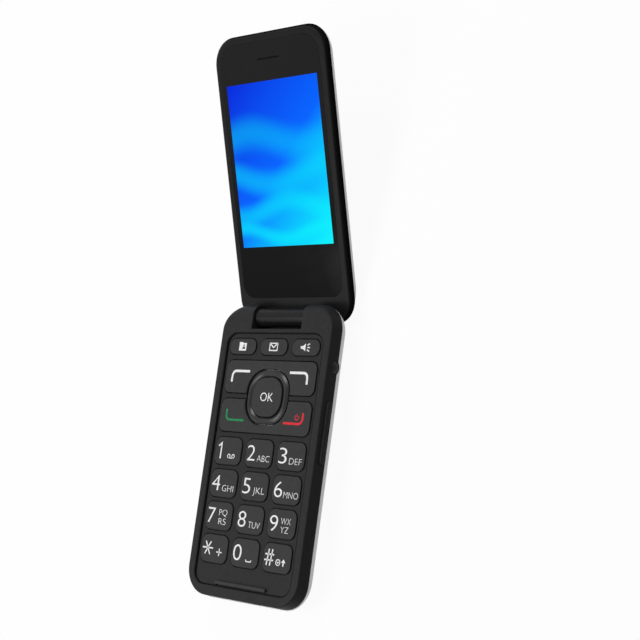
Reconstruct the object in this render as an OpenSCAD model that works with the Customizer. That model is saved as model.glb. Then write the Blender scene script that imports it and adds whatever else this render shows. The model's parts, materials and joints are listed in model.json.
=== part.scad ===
// Flip phone: a keypad half, a display half on a two-shoulder hinge, and what both hold inside.
// It lies on its battery cover with the display half open against its stop.
// All modules work from the hinge axis: +X to the right, +Y from the keypad to the hinge, +Z out of the keys.
// Modules of the display half are drawn closed, and in_lid() swings them open.

/* [Overall] */
// Width of both halves across the seam
phone_w = 52.8; // [51:0.2:58]
// Hinge axis to the far end of the keypad half
base_reach = 98; // [97:0.5:108]
// Hinge axis to the far end of the display half
lid_reach = 97.9; // [96:0.1:108]
// Corner radius in plan, both halves
corner_r = 9.2; // [6:0.2:12]
// Angle between the closed and the open display half
open_angle = 160; // [150:1:165]
// Play between the faces of the closed halves
closed_gap = 0.45; // [0.4:0.05:0.8]
// Room between the swinging display half and the rounded end of the keypad half
swing_gap = 0.4; // [0.3:0.05:0.45]

/* [Keypad half] */
// Height of the hinge axis, which is also the seam, above the back
axis_h = 7.6; // [7.4:0.1:8.6]
// Height of the bezel above the hinge axis
bezel_rise = 4.2; // [4.1:0.1:5]
// How far the bezel's edge stands in from the seam
bezel_draft = 0.6; // [0.3:0.1:1]
// Wall of the dark front housing
housing_wall = 1.25; // [1:0.05:1.4]
// Reach of the cover's rounding in from its long sides
back_round_side = 11; // [8:0.5:12]
// Reach of the cover's rounding in from its far end
back_round_end = 8; // [6:0.5:10]
// Wall of the battery cover
cover_wall = 1; // [0.8:0.05:1.05]
// Radius that blends the sloped heels into the flat faces
heel_blend = 20; // [12:1:26]

/* [Keypad panel] */
// Depth of the panel's face below the bezel
panel_drop = 0.7; // [0.5:0.05:0.8]
// Thickness of the panel
panel_t = 0.8; // [0.6:0.05:0.85]
// Seam to panel edge at each side
panel_side = 3.55; // [3.4:0.05:3.8]
// Hinge axis to the panel's near edge
panel_start = 6.1; // [5.9:0.1:6.6]
// Panel's far edge to the far end of the keypad half
panel_end = 4.3; // [4:0.1:5]
// Corner radius of the panel
panel_r = 4.5; // [3.5:0.1:5]
// Width of the ledge that carries the panel
ledge_w = 0.8; // [0.6:0.05:0.85]
// Length of the rest bar at the panel's far edge
bar_len = 24; // [16:1:30]
// Width of the rest bar
bar_w = 1.8; // [1.2:0.1:2]

/* [Keys] */
// Panel's side edge to the outer columns of keys
key_side = 1.65; // [1.3:0.05:2.5]
// Strip between two columns of keys
column_strip = 2.3; // [1.8:0.1:3]
// Strip between two rows of number keys
row_strip = 1.8; // [1.5:0.1:2.4]
// Last row of keys to the panel's far edge
keys_end = 7.6; // [6:0.1:9]
// Corner radius of the keys
key_r = 2.5; // [1.5:0.1:3]
// Height of a key's face above the panel
key_rise = 0.35; // [0.2:0.05:0.45]
// Gap around a key
key_gap = 0.3; // [0.2:0.05:0.4]
// Travel of a key
key_travel = 0.35; // [0.2:0.05:0.4]
// Depth of the three shortcut keys
shortcut_d = 5.5; // [4.6:0.1:5.8]
// Panel's near edge to the shortcut keys
shortcut_start = 2.2; // [1.8:0.1:2.6]
// Panel's side edge to the soft-key and call-key plates
plate_side = 1.55; // [1.3:0.05:2.5]
// Depth of both plates
plate_d = 11.4; // [10.8:0.1:12.2]
// Strip between the plates, and between a plate and the keys next to it
plate_strip = 2.15; // [1.8:0.05:2.4]
// Width of the navigation ring
ring_w = 20.2; // [18:0.2:21]
// Depth of the navigation ring
ring_d = 18.7; // [17:0.1:19.4]
// Width of the middle key
ok_w = 15; // [13:0.1:15.4]
// Depth of the middle key
ok_d = 14.2; // [12.6:0.1:14.4]
// Corner radius of the navigation ring
ring_r = 8.6; // [7:0.1:9]
// Corner radius of the middle key
ok_r = 6.2; // [4:0.1:6.8]
// Height of the ring's face above the panel
ring_rise = 0.55; // [0.4:0.05:0.6]

/* [Side and end features] */
// Shortcut keys to the middle of the headphone socket
jack_back = 3.3; // [3.1:0.05:3.5]
// Radius of the headphone socket's bore
jack_r = 1.8; // [1.78:0.01:1.82]
// Length of the headphone socket's bore
jack_len = 14; // [12:0.5:14.5]
// Hinge axis to the middle of the volume key
volume_row = 39; // [36:0.5:44]
// Length of the volume key
volume_len = 21; // [16:0.5:24]
// Height of the volume key
volume_h = 1.8; // [1.4:0.1:1.9]
// How far the volume key stands out
volume_proud = 0.6; // [0.3:0.1:0.8]
// Distance between the two charging contacts
contact_pitch = 15.8; // [12:0.2:18]
// Seam to the end of the loudspeaker trim on the back
trim_side = 11.9; // [11.6:0.1:14]
// Width of the loudspeaker trim on the back
trim_w = 10.5; // [8:0.5:10.5]
// Hinge axis to the middle of the loudspeaker trim
trim_row = 16.8; // [16.5:0.1:17.5]

/* [Hinge] */
// Half width of the recess between the shoulders
recess_half = 11.7; // [10:0.1:12.2]
// Hinge axis to the front wall of the recess
recess_front = 4.75; // [4.6:0.05:4.8]
// Radius of the display half's barrel
barrel_r = 3.3; // [3:0.1:3.6]
// Radius of the hinge shaft
shaft_r = 1.2; // [0.9:0.05:1.3]
// Length of the hinge shaft
shaft_len = 34; // [32:0.5:36]
// Running clearance of the shaft in its bushes
shaft_play = 0.05; // [0.02:0.01:0.08]

/* [Battery] */
// Seam to the battery at each side
battery_side = 9.4; // [9:0.1:12]
// Hinge axis to the battery's near edge
battery_start = 27.5; // [27:0.5:29]
// Battery's far edge to the far end of the keypad half
battery_end = 18.5; // [17.5:0.5:22]
// Room between the battery and the cover
battery_room = 0.55; // [0.3:0.05:1]

/* [Display half] */
// Thickness of the display half
lid_t = 6.6; // [6.3:0.1:7.6]
// Height of its dark inner frame
frame_t = 1.7; // [1.6:0.05:1.9]
// How far the frame's face stands in from the seam
frame_draft = 1.5; // [0.8:0.1:1.8]
// How far the display half reaches past the hinge axis
lid_heel = 3.2; // [2.4:0.1:3.4]
// Reach of the outer shell's rounding in from its edges
lid_round = 5.5; // [4.5:0.5:6.5]
// Wall of the outer shell
lid_wall = 0.9; // [0.8:0.05:1]
// Room between the open display half and the surface that the phone lies on
table_gap = 0.3; // [0.3:0.05:0.6]
// Frame edge to window edge
window_edge = 1.5; // [1.2:0.1:2]
// Thickness of the display window
window_t = 0.9; // [0.7:0.05:0.9]
// Hinge axis to the window's near edge
window_start = 6.3; // [6:0.1:8]
// Corner radius of the window
window_r = 6.5; // [5:0.5:8]
// Window's side edge to the picture area
screen_side = 2.05; // [1.8:0.05:4]
// Hinge axis to the picture area's near edge
screen_start = 24.4; // [23:0.1:26]
// Picture area's far edge to the far end of the display half
screen_end = 16.6; // [16:0.1:20]
// Length of the earpiece slot
ear_len = 10.4; // [8:0.2:12]
// Width of the earpiece slot
ear_w = 0.8; // [0.6:0.1:1]
// Earpiece slot to the far end of the display half
ear_end = 9.1; // [8.4:0.1:10]
// Radius of the camera's window on the outer shell
camera_r = 2.6; // [2:0.1:2.8]

/* [Hidden] */

$fn = 48;
hull_fn = 32;
skin = 0.01;
over = 1;
fit = 0.1;
air = 0.25;

// Plan sizes of the keypad half
half_w = phone_w / 2;
axis_y = (base_reach + bezel_rise + closed_gap - swing_gap) / 2 - bezel_rise - closed_gap + swing_gap;
lid_face = bezel_rise + closed_gap;
nose_r = lid_face - swing_gap;
heel = 180 - open_angle;

// Levels of the keypad half, measured from the hinge axis
back = -axis_h;
floor_top = back + cover_wall;
panel_top = bezel_rise - panel_drop;
panel_under = panel_top - panel_t;
ledge_t = 0.8;
ledge_under = panel_under - ledge_t;
key_top = panel_top + key_rise;
ring_top = panel_top + ring_rise;
flange_t = 0.45;
flange_top = panel_under - fit;
flange_under = flange_top - flange_t;
flange_w = 0.35;
rocker_play = 0.45;
rocker_top = panel_under - rocker_play;
rocker_t = 0.35;
mat_top = rocker_top - rocker_t - rocker_play;
mat_t = 0.55;
board_t = 0.8;
dome_h = 0.25;
plate_t = 0.7;
plate_top = -board_t - air;
plate_under = plate_top - plate_t;
platform_t = 0.3;
tilt_room = 0.3;
platform_under = mat_top + tilt_room;
ring_under = platform_under + platform_t + tilt_room;
press_play = 0.05;
press_foot = mat_top + key_travel + press_play;

// Keypad panel and the places of the keys on it
panel_w = phone_w - 2 * panel_side;
panel_len = base_reach - panel_end - panel_start;
panel_mid = panel_start + panel_len / 2;
shortcut_row = panel_start + shortcut_start + shortcut_d / 2;
plate_w = panel_w - 2 * plate_side;
upper_row = shortcut_row + shortcut_d / 2 + plate_strip + plate_d / 2;
lower_row = upper_row + plate_d + plate_strip;
nav_row = (upper_row + lower_row) / 2;
keys_start = lower_row + plate_d / 2 + plate_strip;
key_rows = 4;
key_w = (panel_w - 2 * key_side - 2 * column_strip) / 3;
key_d = (base_reach - panel_end - keys_end - keys_start - (key_rows - 1) * row_strip) / key_rows;
pitch_x = key_w + column_strip;
pitch_y = key_d + row_strip;
first_row = keys_start + key_d / 2;
// Name, column and row of each number key, and name and column of each shortcut key
NUMBER_KEYS = [["key_1", -1, 0], ["key_2", 0, 0], ["key_3", 1, 0], ["key_4", -1, 1], ["key_5", 0, 1],
    ["key_6", 1, 1], ["key_7", -1, 2], ["key_8", 0, 2], ["key_9", 1, 2], ["key_star", -1, 3],
    ["key_0", 0, 3], ["key_hash", 1, 3]];
SHORTCUT_KEYS = [["key_contacts", -1], ["key_messages", 0], ["key_torch", 1]];

// Edges of the cap faces, the small clearances of the keys, and the bar on the middle number key
cap_edge = 0.15;
cap_step = 0.1;
ring_edge = 0.4;
ring_step = 0.3;
plunger_r = 1.2;
nub_out = ring_d / 2 + key_gap + 1.2;
mark_len = 2.2;
mark_w = 0.5;
mark_h = 0.1;
mark_in = 0.8;

// Board, mat and domes under the panel
board_side = 0.85;
board_w = panel_w - 2 * ledge_w - 2 * board_side;
board_start = panel_start + 0.9;
board_gap = 2.6;
board_end = base_reach - board_gap;
board_r = 3;
mat_edge = 1.2;
mat_r = 2;
mat_start = shortcut_row - shortcut_d / 2 - mat_edge / 2;
mat_end = base_reach - panel_end - keys_end + mat_edge;
dome_r = 2;
dome_inset = 5;
dome_sheet_t = 0.1;
// Widths of the ring's band across and along the phone
ring_wall_x = (ring_w - ok_w) / 2 - key_gap;
ring_wall_y = (ring_d - ok_d) / 2 - key_gap;

// Headphone socket
jack_row = shortcut_row + shortcut_d / 2 + jack_back;
jack_wall = 0.25;
jack_body_r = jack_r + jack_wall;
jack_z = panel_under - 0.15 - jack_body_r;
jack_collar_r = jack_r + 0.65;
jack_mouth = half_w + 0.3;
jack_room = jack_body_r + jack_wall + 0.3;
jack_end_wall = 0.8;
jack_inner = half_w - jack_len - jack_end_wall - 0.4;

// Volume key, fitted between the seam and the ledge
volume_z = 0.45 + volume_h / 2;
volume_flange_x = half_w - housing_wall - 0.55;
volume_flange_t = 0.5;
volume_lip = 0.6;
slot_play = 0.15;
switch_w = 3;

// Battery, loudspeaker, ports and what stands beyond the battery
battery_w = phone_w - 2 * battery_side;
battery_len = base_reach - battery_end - battery_start;
battery_t = plate_under - fit - floor_top - battery_room;
battery_mid = battery_start + battery_len / 2;
battery_far = battery_start + battery_len;
battery_r = 0.8;
bay_wall = 1.5;
trim_len = phone_w - 2 * trim_side;
trim_lip = 0.6;
trim_top = floor_top + 0.4;
trim_slot_w = 1.6;
trim_slot_end = 4;
speaker_w = 15;
speaker_d = 11;
speaker_r = 1.5;
speaker_gap = 1.1;
usb_row = 35;
usb_w = 7.5;
usb_len = 5.4;
usb_wall = 0.35;
usb_mouth = -half_w + cover_wall + 1;
usb_z = -board_t - 1.4;
usb_play = 0.4;
contact_w = 2;
contact_h = 1.4;
contact_play = 0.2;
spring_w = 1.2;
spring_pitch = 3.5;
spring_len = 2.2;
antenna_d = 2.2;
antenna_in = 0.4;
sim_edge = 1.6;
sim_w = board_w / 2 - sim_edge - spring_pitch - spring_w / 2 - 1.5;
sim_start = battery_far + 1.7;
sim_d = board_end - antenna_in - antenna_d - 0.2 - sim_start;
sim_t = 1.5;
sim_play = 0.5;
sim_x = sim_edge - board_w / 2 + sim_w / 2;
sim_row = sim_start + sim_d / 2;
motor_r = 4;
motor_t = 2.7;
motor_x = 13;
motor_row = battery_far + 4.6 + motor_r;
can_h = 1.4;
can_wall = 0.2;
can_gap = 1.2;
can_split = -6.9;
// Footprints of the two shield cans: [x0, x1, nearest row, farthest row]
SHIELDS = [for (x = [[1.7 - board_w / 2, can_split - can_gap / 2],
    [can_split + can_gap / 2, jack_inner - 2.6]]) [x[0], x[1], board_start + 2.2, battery_start - 3.1]];

// Hinge
trim_edge = 1.2;
boss_r = nose_r - housing_wall - air;
bush_r = barrel_r - 1;
bush_len = 3;
barrel_half = recess_half - 0.3;
lid_open_reach = axis_h - table_gap;
shaft_fit = 0.02;
wall_splay = 0.9;
nail_r = 1.5;

// Levels of the display half, measured from the hinge axis with the halves closed
lid_seam = lid_face + frame_t;
lid_out = lid_face + lid_t;
window_w = phone_w - 2 * frame_draft - 2 * window_edge;
window_end = lid_reach - frame_draft - window_edge;
window_len = window_end - window_start;
window_mid = window_start + window_len / 2;
window_under = lid_face + window_t;
screen_w = window_w - 2 * screen_side;
screen_len = lid_reach - screen_end - screen_start;
lcd_side = 0.8;
lcd_foot = 3;
lcd_t = 1.6;
lcd_w = screen_w + 2 * lcd_side;
lcd_len = screen_len + lcd_side + lcd_foot;
lcd_mid = screen_start + screen_len / 2 - (lcd_foot - lcd_side) / 2;
lcd_out = window_under + fit + lcd_t;
light_t = 0.9;
light_out = lcd_out + fit + light_t;
light_edge = 0.5;
lid_board_t = 0.6;
lid_board_side = 7;
lid_board_r = 2;
shell_in = lid_out - lid_wall;
ear_row = lid_reach - ear_end;
ear_body_t = 2.2;
ear_body_d = 4.8;
ear_play = 0.3;
camera_pos = [-12, ear_row - 0.6];
camera_side = 6.4;
torch_pos = [-4.5, ear_row - 0.6];
torch_r = 1.3;
magnet_w = 4;
magnet_d = 3;
magnet_t = 1.5;
magnet_x = 18;

// Screws
screw_r = 0.7;
screw_play = 0.15;
screw_head_r = 1.2;
screw_head_t = 0.6;
screw_x = panel_w / 2 - ledge_w + 0.95;
base_screw_rows = [24.6, base_reach - 10];
lid_screw_x = 17;
lid_screw_row = 14.5;
lid_screw_len = 2.6;
lid_screw_head_t = 0.4;

// ---- Plain shapes ----

// Rectangle with round corners, centred, true arcs
module pill(w, d, r) {
    c = min(r, w / 2 - skin, d / 2 - skin);
    square([w - 2 * c, d], center = true);
    square([w, d - 2 * c], center = true);
    for (x = [-1, 1], y = [-1, 1])
        translate([x * (w / 2 - c), y * (d / 2 - c)]) circle(c);
}

// The same as a slab from z0 to z1, its middle at a distance row from the hinge axis
module slab(w, d, r, z0, z1, row = 0, x = 0) {
    translate([x, -row, z0]) linear_extrude(z1 - z0) pill(w, d, r);
}

// Box from one corner to the other
module block(low, high) {
    translate(low) cube(high - low);
}

// Cylinder along X from x0 to x1
module rod(x0, x1, r) {
    translate([x0, 0, 0]) rotate([0, 90, 0]) cylinder(h = x1 - x0, r = r);
}

// The same piece on the right and on the left
module both_sides() {
    for (x = [-1, 1]) scale([x, 1, 1]) children();
}

function arc(centre, r, from, to, steps) =
    [for (i = [0:steps]) let (a = from + (to - from) * i / steps) centre + r * [cos(a), sin(a)]];

// Middle of the arc that blends a heel into the flat face at height flat
function blend_y(flat, reach) = (reach - heel_blend - cos(heel) * (flat - heel_blend)) / sin(heel);

// One thin layer of a half: four corner discs, drawn in by side and end
module layer(z, side, end, reach, past) {
    for (x = [-1, 1], y = [corner_r + end - reach, past - corner_r])
        translate([x * (half_w - side - corner_r), y, z]) cylinder(h = skin, r = corner_r, $fn = hull_fn);
}

// ---- Forms of the keypad half ----

// Side view of the keypad half: round nose, sloped heel, blended into the back, drawn in by d
module base_side(d) {
    r = nose_r - d;
    flat = axis_h - d;
    y = blend_y(flat, r);
    rotate([90, 0, 90]) translate([0, 0, -phone_w])
        linear_extrude(2 * phone_w) polygon(concat([[-2 * base_reach, axis_h], [0, axis_h]],
            arc([0, 0], r, 90, heel - 90, 20), arc([y, heel_blend - flat], heel_blend, heel - 90, -90, 6),
            [[-2 * base_reach, -flat]]));
}

// Dark half above the seam, drawn in by d
module front_form(d) {
    intersection() {
        hull() {
            layer(0, d, d, base_reach, nose_r);
            layer(bezel_rise * 0.9 - d, bezel_draft * 0.7 + d, bezel_draft * 0.7 + d, base_reach, nose_r);
            layer(bezel_rise - d - skin, bezel_draft + 0.25 + d, bezel_draft + 0.25 + d, base_reach, nose_r);
        }
        base_side(d);
    }
}

// Silver half below the seam, drawn in by d
module back_form(d) {
    intersection() {
        hull() for (a = [0:15:90])
            layer((d - axis_h) * sin(a), d + back_round_side * (1 - cos(a)),
                d + back_round_end * (1 - cos(a)), base_reach, nose_r);
        base_side(d);
    }
}

// Recess between the shoulders, widened by d, from level z0 up to z1; splay opens it towards the hinge end
module recess(d, z0, z1, splay = 0) {
    w = recess_half + d;
    translate([0, 0, z0]) linear_extrude(z1 - z0)
        polygon([[-w, -recess_front - d], [w, -recess_front - d], [w + splay, nose_r + over],
            [-w - splay, nose_r + over]]);
}

// Room for the body of the headphone socket in the pieces around it
module jack_pocket(top) {
    translate([0, -jack_row, jack_z])
        block([jack_inner, -jack_room, -jack_room], [half_w - housing_wall, jack_room, top]);
}

module jack_cut(r) {
    translate([0, -jack_row, jack_z]) rod(half_w - jack_len - over, half_w + over, r);
}

// ---- Keypad half: housings and covers ----

module base_front_housing() {
    color([0.2, 0.2, 0.21]) difference() {
        front_form(0);
        difference() {
            front_form(housing_wall);
            recess(trim_edge, -over, bezel_rise);
            block([-phone_w, -2 * base_reach, ledge_under], [phone_w, nose_r, bezel_rise]);
            at_base_screws() cylinder(h = bezel_rise, r = screw_r + 0.6);
        }
        front_shoulder_room();
        recess(0, -over, bezel_rise + over);
        slab(panel_w, panel_len, panel_r, panel_under, bezel_rise + over, panel_mid);
        slab(panel_w - 2 * ledge_w, panel_len - 2 * ledge_w, panel_r - ledge_w, -over, bezel_rise, panel_mid);
        rod(-recess_half - trim_edge - over, recess_half + trim_edge + over, shaft_r + air);
        jack_cut(jack_collar_r + fit);
        volume_slot();
        contact_notches();
        at_base_screws() translate([0, 0, -over]) cylinder(h = over + ledge_under - 0.3, r = screw_r);
    }
}

module at_base_screws() {
    for (x = [-1, 1], row = base_screw_rows) translate([x * screw_x, -row, 0]) children();
}

// Hollow of the two shoulders, around the bosses that hold the shaft
module front_shoulder_room() {
    both_sides() rod(recess_half + trim_edge, shaft_len / 2 + 1, boss_r + 0.12);
}

// Notches in the tip seam over the charging contacts
module contact_notches() {
    for (x = [-1, 1]) translate([x * contact_pitch / 2, -base_reach, 0])
        cube([contact_w + 2 * contact_play, 4 * cover_wall, contact_h + contact_play], center = true);
}

module volume_slot() {
    w = volume_len + 2 * slot_play;
    h = volume_h + 2 * slot_play;
    room = 2 * volume_lip;
    block([volume_flange_x - volume_flange_t - room, -volume_row - volume_len / 2 - room, -over],
        [half_w - housing_wall, -volume_row + volume_len / 2 + room, volume_z + volume_h / 2 + volume_lip]);
    translate([half_w, -volume_row, volume_z]) rotate([0, 90, 0]) linear_extrude(6, center = true)
        pill(h, w, h / 2);
}

module base_rear_housing() {
    color([0.13, 0.13, 0.14]) {
        difference() {
            union() {
                chassis_plate();
                difference() {
                    slab(battery_w + 2 * bay_wall, battery_len + 2 * bay_wall, battery_r + bay_wall,
                        floor_top + 0.8, plate_under, battery_mid);
                    slab(battery_w + 2 * air, battery_len + 2 * air, battery_r, back, plate_under,
                        battery_mid);
                }
                intersection() {
                    base_side(0.15);
                    difference() {
                        recess(trim_edge, back, 0, splay = wall_splay);
                        recess(0, back - over, over);
                        block([-phone_w, -recess_front - trim_edge - over, back],
                            [phone_w, -recess_front - trim_edge + 0.1, floor_top - 0.2]);
                    }
                }
                both_sides() rod(recess_half + trim_edge, shaft_len / 2 + 0.6, boss_r);
            }
            rod(-shaft_len / 2 - over, shaft_len / 2 + over, shaft_r + shaft_fit);
            jack_pocket(jack_room);
            shield_windows(0.4);
            at_base_screws() cylinder(h = 3 * axis_h, r = screw_r + screw_play, center = true);
            slab(sim_w + 2 * sim_play, sim_d + 2 * sim_play, 0.5, plate_under - 3, 0, sim_row, sim_x);
            block([-half_w + 0.9, -usb_row - usb_w / 2 - 2 * usb_play, back],
                [usb_mouth + usb_len + 2, -usb_row + usb_w / 2 + 2 * usb_play, 0]);
            block([-spring_pitch - 2.1, -battery_far - 4, back], [spring_pitch + 2.1, -battery_far + 1, 0]);
            slab(speaker_w + 2 * air, speaker_d + 2 * air, speaker_r, back, plate_under - speaker_gap,
                trim_row);
        }
    }
}

// Flat carrier between the battery and the board
module chassis_plate() {
    edge = cover_wall + 0.55;
    intersection() {
        hull() {
            layer(plate_under, edge, edge, base_reach, nose_r);
            layer(plate_top - skin, edge, edge, base_reach, nose_r);
        }
        difference() {
            base_side(cover_wall + 0.4);
            recess(0, back - over, over);
            both_sides() block([recess_half + trim_edge, -board_start + 0.8, back], [phone_w, nose_r, 0]);
        }
    }
}

module keypad_fascia() {
    color([0.21, 0.21, 0.22]) difference() {
        slab(panel_w - 2 * fit, panel_len - 2 * fit, panel_r - fit, panel_under, panel_top, panel_mid);
        for (k = NUMBER_KEYS) key_hole(key_w, key_d, first_row + k[2] * pitch_y, k[1] * pitch_x);
        for (k = SHORTCUT_KEYS) key_hole(key_w, shortcut_d, shortcut_row, k[1] * pitch_x);
        for (row = [upper_row, lower_row]) key_hole(plate_w, plate_d, row, 0);
        ring_room(panel_under - over, panel_top + over);
    }
}

module key_hole(w, d, row, x) {
    slab(w + 2 * key_gap, d + 2 * key_gap, key_r + key_gap, panel_under - over, panel_top + over, row, x);
}

module rest_bar() {
    color([0.2, 0.2, 0.21])
        slab(bar_len, bar_w, bar_w / 2, panel_top, lid_face - 0.2, base_reach - panel_end - bar_w / 2 - 0.3);
}

module battery_cover() {
    color([0.75, 0.75, 0.78]) difference() {
        back_form(0);
        back_form(cover_wall);
        block([-phone_w, -2 * base_reach, -skin], [phone_w, nose_r + over, over]);
        recess(trim_edge + 0.15, back - over, over, splay = wall_splay);
        translate([0, -recess_front - trim_edge - 0.4, back - over]) cylinder(h = axis_h, r = nail_r);
        slab(trim_len, trim_w, trim_w / 2, back - over, floor_top + over, trim_row);
        jack_cut(jack_collar_r + 0.15);
        block([-phone_w, -usb_row - usb_w / 2 - usb_play, usb_z - 1.6],
            [-half_w + 4, -usb_row + usb_w / 2 + usb_play, usb_z + 1.6]);
        contact_notches();
    }
}

module speaker_trim() {
    color([0.16, 0.16, 0.17]) difference() {
        union() {
            slab(trim_len - 2 * fit, trim_w - 2 * fit, trim_w / 2 - fit, back + fit, trim_top - 0.2,
                trim_row);
            intersection() {
                slab(trim_len + 2 * trim_lip, trim_w + 2 * trim_lip, trim_w / 2 + trim_lip, floor_top + fit,
                    trim_top, trim_row);
                base_side(cover_wall + fit);
            }
        }
        slab(trim_len - 2 * trim_slot_end, trim_slot_w, trim_slot_w / 2, back - over, floor_top + over,
            trim_row);
    }
}

// ---- Keypad half: what it holds ----

module key_mat() {
    color([0.85, 0.85, 0.82]) difference() {
        union() {
            slab(board_w, mat_end - mat_start, mat_r, mat_top - mat_t, mat_top, (mat_start + mat_end) / 2);
            for (p = dome_places()) translate([p[0], -p[1], dome_h + fit])
                cylinder(h = mat_top - dome_h - mat_t, r = dome_r / 2);
        }
        jack_pocket(jack_room);
    }
}

// Middles of the domes, as [x, distance from the hinge axis]
function dome_places() = concat(
    [for (k = NUMBER_KEYS) [k[1] * pitch_x, first_row + k[2] * pitch_y]],
    [for (k = SHORTCUT_KEYS) [k[1] * pitch_x, shortcut_row]],
    [for (x = [-1, 1], row = [upper_row + plate_d / 4, lower_row]) [x * (plate_w / 2 - dome_inset), row]],
    [for (x = [-1, 1]) [x * (ring_w - ring_wall_x) / 2, nav_row]],
    [for (y = [-1, 1]) [0, nav_row + y * (ring_d - ring_wall_y) / 2]], [[0, nav_row]]);

module dome_sheet() {
    color([0.75, 0.76, 0.78]) difference() {
        union() {
            slab(board_w - 0.6, mat_end - mat_start, mat_r, 0, dome_sheet_t, (mat_start + mat_end) / 2);
            for (p = dome_places()) translate([p[0], -p[1], dome_sheet_t])
                cylinder(h = dome_h - dome_sheet_t, r1 = dome_r, r2 = 0.6 * dome_r);
        }
        jack_pocket(jack_room);
    }
}

module main_board() {
    color([0.05, 0.3, 0.14]) difference() {
        slab(board_w, board_end - board_start, board_r, -board_t, 0, (board_start + board_end) / 2);
        jack_pocket(jack_room);
    }
}

module shield_windows(room) {
    for (s = SHIELDS) block([s[0] - room, -s[3] - room, plate_under - over], [s[1] + room, -s[2] + room, 0]);
}

module shield_cans() {
    color([0.72, 0.72, 0.7]) for (s = SHIELDS) difference() {
        block([s[0], -s[3], -board_t - can_h], [s[1], -s[2], -board_t]);
        block([s[0] + can_wall, -s[3] + can_wall, -board_t - can_h + can_wall],
            [s[1] - can_wall, -s[2] - can_wall, 0]);
    }
}

module sim_holder() {
    color([0.7, 0.7, 0.68]) difference() {
        translate([sim_x, -sim_row, -board_t - sim_t / 2]) cube([sim_w, sim_d, sim_t], center = true);
        translate([sim_x, -sim_row - 1, -board_t - sim_t / 2 - fit])
            cube([sim_w - 1.5, sim_d + 0.6, sim_t - 0.7], center = true);
    }
}

module battery() {
    color([0.12, 0.12, 0.13])
        slab(battery_w, battery_len, battery_r, plate_under - fit - battery_t, plate_under - fit,
            battery_mid);
}

module battery_contacts() {
    row = battery_far + air + fit;
    color([0.85, 0.68, 0.3]) for (x = [-spring_pitch, 0, spring_pitch])
        block([x - spring_w / 2, -row - spring_len, plate_under - 2], [x + spring_w / 2, -row, -board_t]);
}

module loudspeaker() {
    color([0.1, 0.1, 0.1])
        slab(speaker_w, speaker_d, speaker_r, trim_top + 0.3, plate_under - speaker_gap - fit, trim_row);
}

module headphone_jack() {
    color([0.09, 0.09, 0.1]) translate([0, -jack_row, jack_z]) difference() {
        union() {
            rod(half_w - jack_len - jack_end_wall, half_w - 1, jack_body_r);
            block([half_w - jack_len - jack_end_wall, -jack_body_r, -jack_body_r],
                [half_w - 2.4, jack_body_r, 0]);
            rod(half_w - 1, jack_mouth, jack_collar_r);
        }
        rod(jack_mouth - jack_len, jack_mouth + over, jack_r);
    }
}

module usb_port() {
    inner = usb_w / 2 - usb_wall;
    color([0.7, 0.7, 0.7]) difference() {
        block([usb_mouth, -usb_row - usb_w / 2, usb_z - 1.3],
            [usb_mouth + usb_len, -usb_row + usb_w / 2, usb_z + 1.4]);
        block([usb_mouth - over, -usb_row - inner, usb_z - 1.3 + usb_wall],
            [usb_mouth + usb_len - 0.6, -usb_row + inner, usb_z + 0.9]);
    }
}

module charge_contacts() {
    color([0.85, 0.68, 0.3]) for (x = [-1, 1])
        block([x * contact_pitch / 2 - contact_w / 2, -base_reach + 1.1, -contact_h / 2],
            [x * contact_pitch / 2 + contact_w / 2, -board_end - fit, contact_h / 2]);
}

module microphone() {
    color([0.75, 0.7, 0.55]) block([12, -board_end + 0.6, 0], [15.8, -board_end + 3.5, 1.1]);
}

module vibration_motor() {
    color([0.7, 0.7, 0.72]) translate([motor_x, -motor_row, plate_under - motor_t - fit])
        cylinder(h = motor_t, r = motor_r);
}

module antenna() {
    color([0.78, 0.6, 0.3])
        block([-16, -board_end + antenna_in, plate_under - 0.35],
            [8, -board_end + antenna_in + antenna_d, plate_under - fit]);
}

module base_screws() {
    color([0.6, 0.6, 0.62]) at_base_screws() {
        translate([0, 0, plate_under - screw_head_t]) cylinder(h = screw_head_t, r = screw_head_r);
        translate([0, 0, plate_under - fit])
            cylinder(h = ledge_under - 0.6 - plate_under, r = screw_r - 0.05);
    }
}

module volume_switches() {
    face = volume_flange_x - volume_flange_t - 0.4;
    color([0.72, 0.72, 0.7]) for (y = [-1, 1])
        translate([0, -volume_row - y * volume_len * 0.3, 0]) {
            block([board_w / 2 + fit, -switch_w / 2, -board_t], [face, switch_w / 2, 0.4]);
            block([board_w / 2 + 1, -switch_w / 2, 0], [face, switch_w / 2, ledge_under - slot_play]);
        }
}

// ---- Keys ----

// A cap that comes through the panel, with a flange that holds it in; mark is a bar that a finger can find
module key(w, d, mark = false) {
    lip = key_gap + flange_w;
    color([0.26, 0.26, 0.27]) {
        slab(w, d, key_r, flange_under, key_top - cap_step);
        slab(w - 2 * cap_edge, d - 2 * cap_edge, key_r - cap_edge, flange_under, key_top);
        slab(w + 2 * lip, d + 2 * lip, key_r + lip, flange_under, flange_top);
        translate([0, 0, press_foot]) cylinder(h = flange_top - press_foot, r = plunger_r);
        if (mark) slab(mark_len, mark_w, mark_w / 2, key_top - cap_step, key_top + mark_h, d / 2 - mark_in);
    }
}

module number_key(column, row) {
    translate([column * pitch_x, -first_row - row * pitch_y, 0]) key(key_w, key_d, column == 0 && row == 1);
}

module shortcut_key(column) {
    translate([column * pitch_x, -shortcut_row, 0]) key(key_w, shortcut_d);
}

module ring_room(z0, z1) {
    slab(ring_w + 2 * key_gap, ring_d + 2 * key_gap, ring_r + key_gap, z0, z1, nav_row);
}

module ok_room() {
    slab(ok_w + 2 * key_gap, ok_d + 2 * key_gap, ok_r + key_gap, -over, ring_top + over, nav_row);
}

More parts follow.
